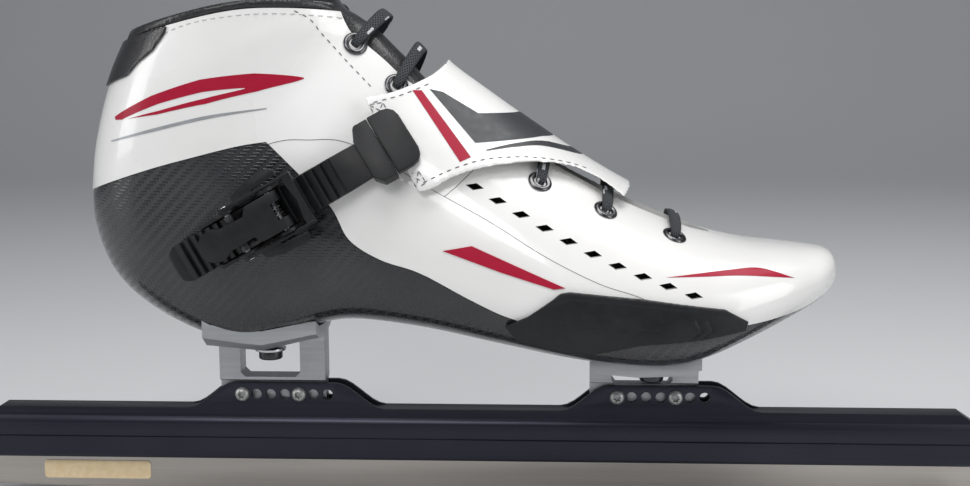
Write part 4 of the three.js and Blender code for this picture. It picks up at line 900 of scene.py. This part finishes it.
# ---- Eyelets
# Seven pressed steel eyelets down each facing, with a rolled ring and a hollow barrel. They are
# finished in dark gunmetal, so that they sit quietly against the black lace.
gunmetal = Finish("gunmetal", Metallic=1.0)
gunmetal.varied(gunmetal.noise(500, detail=4), (0.07, 0.07, 0.073, 1), (0.19, 0.19, 0.195, 1), 0.2,
    0.36, 0.00002, 0.4)
eyelet_places = [(15.37, 0.409), (13.09, 0.402), (11.49, 0.399), (10.45, 0.398), (9.54, 0.398),
    (8.32, 0.411), (6.97, 0.421)]
ring = [(2.45, -1.9), (3.05, -1.9), (3.05, 0.45), (4.7, 0.45), (4.85, 0.75), (4.6, 1.15), (4.0, 1.4),
        (3.3, 1.4),
        (2.75, 1.15), (2.5, 0.6), (2.45, -1.9)]
for side in ("outer", "inner"):
    for number, (place, turn) in enumerate(eyelet_places, 1):
        turn = turn if side == "outer" else 1 - turn
        spot = Vector(on_boot(place, turn, 0.0)) * MM
        out = Vector(out_of_skin(np.array(place), np.array(turn)))
        mesh = bpy.data.meshes.new("eyelet")
        turned = spun(ring, 24)
        turned.to_mesh(mesh)
        turned.free()
        mesh.transform(Matrix.Translation(spot) @ out.to_track_quat("Z", "Y").to_matrix().to_4x4())
        name = "eyelet_%s_%d" % (side, number)
        piece("ring_" + name, mesh, gunmetal, replaces=[name], sharp=40)

# ---- Lace
# One flat woven lace, charcoal with light flecks. It crosses the throat through each pair of
# eyelets and goes on under the facings; both ends are tucked inside the boot.
lace_cloth = Finish("woven_lace", Roughness=0.85)
run = lace_cloth.node("UVMap", {}, {})
u, v = (lace_cloth.axis(run, number) for number in range(2))
strand_a = ((u * 14 + v) * math.tau).sine()
strand_b = ((u * 14 - v) * math.tau).sine()
weave = strand_a.maths("MAXIMUM", strand_a, strand_b)
cell = lace_cloth.node("CombineXYZ", {}, {0: (u * 14).floor(), 1: (v * 0.5).floor()})
fleck = lace_cloth.node("TexWhiteNoise", {"noise_dimensions": "2D"}, {"Vector": cell}) > 0.94
shade = lace_cloth.mix(lace_cloth.ramp(weave, -0.5, 1), (0.008, 0.009, 0.01, 1),
    (0.06, 0.066, 0.074, 1))
lace_cloth.put(Base_Color=lace_cloth.mix(fleck * 0.9, shade, (0.7, 0.72, 0.74, 1)))
lace_cloth.put(Roughness=lace_cloth.ramp(weave, -0.5, 1, 0.95, 0.75)).bump(weave, 0.00025, 0.9)
stops = []
for i in range(6, -1, -1):
    place, turn = eyelet_places[i]
    start, end = (turn, 1 - turn) if i % 2 == 0 else (1 - turn, turn)
    inward = 1 if start < 0.5 else -1
    stops += [(place, start, -3.4, 3.4), (place, start, -1, 3.4), (place, start, 1.5, 3.8),
              (place, start + inward * 0.018, 2.5, 4.8)]
    stops += [(place, start + (end - start) * share, 2.5, 5.4) for share in (0.35, 0.65)]
    stops += [(place, end - inward * 0.018, 2.5, 4.8), (place, end, 1.5, 3.8), (place, end, -1, 3.4),
        (place, end, -3.4, 3.4)]
    if i:
        after = eyelet_places[i - 1]
        stops.append(((place + after[0]) / 2, (end + (after[1] if end < 0.5 else 1 - after[1])) / 2,
            -3.9, 3.4))
stops = np.array(stops)
knots = np.array([on_boot(a, b, c) for a, b, c, _ in stops])
lean = np.array([skin_at(np.array(min(a + 0.01, top_section)), np.array(b)) - skin_at(np.array(a),
    np.array(b)) for a, b, _, _ in stops])
values = np.hstack([knots, lean / np.linalg.norm(lean, axis=1)[:, None], stops[:, 3:]])
dense = np.array([tuple(q) for q in flowing(*values, steps=7)])
reach = distances(dense[:, :3])
samples = int(reach[-1] / 0.8)
dense = np.stack([np.interp(np.linspace(0, reach[-1], samples + 1), reach,
    dense[:, n]) for n in range(7)], 1)
ahead = np.gradient(dense[:, :3], axis=0)
ahead /= np.linalg.norm(ahead, axis=1)[:, None]
width_way = dense[:, 3:6] - ahead * np.sum(dense[:, 3:6] * ahead, 1)[:, None]
for i in range(len(width_way)):
    if np.linalg.norm(width_way[i]) < 0.35 and i:
        width_way[i] = width_way[i - 1] - ahead[i] * np.dot(width_way[i - 1], ahead[i])
    width_way[i] /= np.linalg.norm(width_way[i])
thick_way = np.cross(width_way, ahead)
around = 12
cloth = bmesh.new()
cloth.loops.layers.uv.new("weave")
bmesh.ops.create_grid(cloth, x_segments=around, y_segments=samples, size=1, calc_uvs=True)
weave_map = cloth.loops.layers.uv.active
for face in cloth.faces:
    for loop in face.loops:
        loop[weave_map].uv = (loop.vert.co.x / 2 + 0.5, (loop.vert.co.y / 2 + 0.5) * reach[-1] / 2.0)
for vert in cloth.verts:
    row = round((vert.co.y + 1) / 2 * samples)
    a = (vert.co.x + 1) / 2 * math.tau
    half = dense[row, 6] / 2
    thin = 0.75 + (5.4 - dense[row, 6]) * 0.14
    spot = dense[row, :3] + width_way[row] * half * math.copysign(abs(math.cos(a)) ** 0.7,
        math.cos(a)) \
        + thick_way[row] * thin * math.copysign(abs(math.sin(a)) ** 0.8, math.sin(a))
    vert.co = Vector(spot) * MM
bmesh.ops.remove_doubles(cloth, verts=cloth.verts, dist=1e-6)
bmesh.ops.holes_fill(cloth, edges=[e for e in cloth.edges if e.is_boundary], sides=0)
bmesh.ops.recalc_face_normals(cloth, faces=cloth.faces)
lace = piece("woven_lace", cloth, lace_cloth, replaces=["lace"], sharp=80)

# ---- Buckle
# A ratchet buckle moulded in black nylon and riveted to the shell: a base with two ears, a thumb
# lever on the front pin and a release trigger on the rear pin, each turned back by a coil spring.
for node, body, edge in (("buckle_base", "boot_and_blade", 0.35), ("buckle_lever", "lever", 0.5),
                         ("buckle_release", "release", 0.35)):
    piece(node + "_moulded", eased(node, edge * MM, 2, 30, 1.0), moulded, body, [node])
for node, body in (("rear_pin", "boot_and_blade"), ("front_pin", "boot_and_blade")):
    piece(node + "_turned", eased(node, 0.0003, 2, 60, 0.5), bright, body, [node])
piece("pawl_pressed", eased("buckle_pawl", 0.0002, 2, 35, 0.5), black_steel, "release",
      ["buckle_pawl"])
for number in (1, 2):
    piece("base_rivet_%d" % number, eased("buckle_rivet_%d" % number, 0.0002, 1, 50, 0.5), black_steel,
          replaces=["buckle_rivet_%d" % number])
for node in ("lever_spring", "release_spring"):
    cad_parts[node].data.materials.clear()
    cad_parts[node].data.materials.append(black_steel.material)

# ---- Ladder and strap cap
# The ladder is a soft nylon strip with sloped teeth. Its end is clamped to the instep strap
# between a rear block and a rounded front plate.
strap_angle = math.radians(29.2)
strap_pose = Matrix((Vector((math.cos(strap_angle), 0, math.sin(strap_angle))), Vector((0, -1, 0)),
                     Vector((math.sin(strap_angle), 0, -math.cos(strap_angle))))).transposed().to_4x4()
strap_pose.translation = Vector((-85.4, -45.4, 118)) * MM


bow, bow_centre = 225, 15
twist, twist_start, twist_run = math.radians(18), 36, 22
half_ladder, tooth_pitch, last_tooth, ladder_end = 7.75, 3.5, 46, 58


def bent(form):
    """Bends a form in strap coordinates round the ankle and twists it to lie on the instep."""
    for vert in form.verts:
        along, out, wide = vert.co / MM
        part = min(max((along - twist_start) / twist_run, 0), 1)
        turn = twist * part * part * (3 - 2 * part)
        lift = out * math.cos(turn) + wide * math.sin(turn)
        side = wide * math.cos(turn) - out * math.sin(turn)
        angle = (along - bow_centre) / bow
        vert.co = strap_pose @ (Vector((bow_centre + (bow + lift) * math.sin(angle),
                                        (bow + lift) * math.cos(angle) - bow, side)) * MM)
    return form


stations = [(-32, 0.9, 3.6), (-31.4, 1.3, 5.2), (-30.6, 1.6, 6.3), (-29.2, 1.6, 7.2),
            (-27.6, 1.6, half_ladder)]
for i in range(21):
    start = -27.2 + tooth_pitch * i
    if start + tooth_pitch > last_tooth:
        break
    stations += [(start + run, top, half_ladder) for run,
        top in ((0, 1.55), (2.3, 2.75), (2.9, 2.9), (3.2, 2.8))]
stations += [(start + 0.6 + 2 * k, 1.6,
    half_ladder) for k in range(40) if start + 0.6 + 2 * k < ladder_end]
stations += [(ladder_end, 1.6, half_ladder)]
strip = bmesh.new()
last = None
for along, top, half in stations:
    loop = bmesh.ops.create_circle(strip, segments=12, radius=1,
        cap_ends=along in (-32, ladder_end))["verts"]
    for vert in loop:
        a = math.atan2(vert.co.y, vert.co.x)
        square = [math.copysign(abs(reading) ** 0.25, reading) for reading in (math.cos(a),
            math.sin(a))]
        vert.co = Vector((along, top / 2 + square[1] * top / 2, square[0] * half)) * MM
    edges = list({e for v in loop for e in v.link_edges if all(w in loop for w in e.verts)})
    if last:
        bmesh.ops.bridge_loops(strip, edges=last + edges)
    last = edges
bent(strip)
bmesh.ops.recalc_face_normals(strip, faces=strip.faces)
piece("ladder_toothed", strip, moulded, "ladder", ["ladder_strap"], sharp=30)
for node, edge in (("ladder_collar", 0.7), ("strap_cap", 1.0)):
    piece(node + "_moulded", eased(node, edge * MM, 3, 30, 1.2), moulded, "ladder",
          [node])

# ---- Clearing away
# The helper solids are removed.
for helper in spare:
    bpy.data.objects.remove(helper)
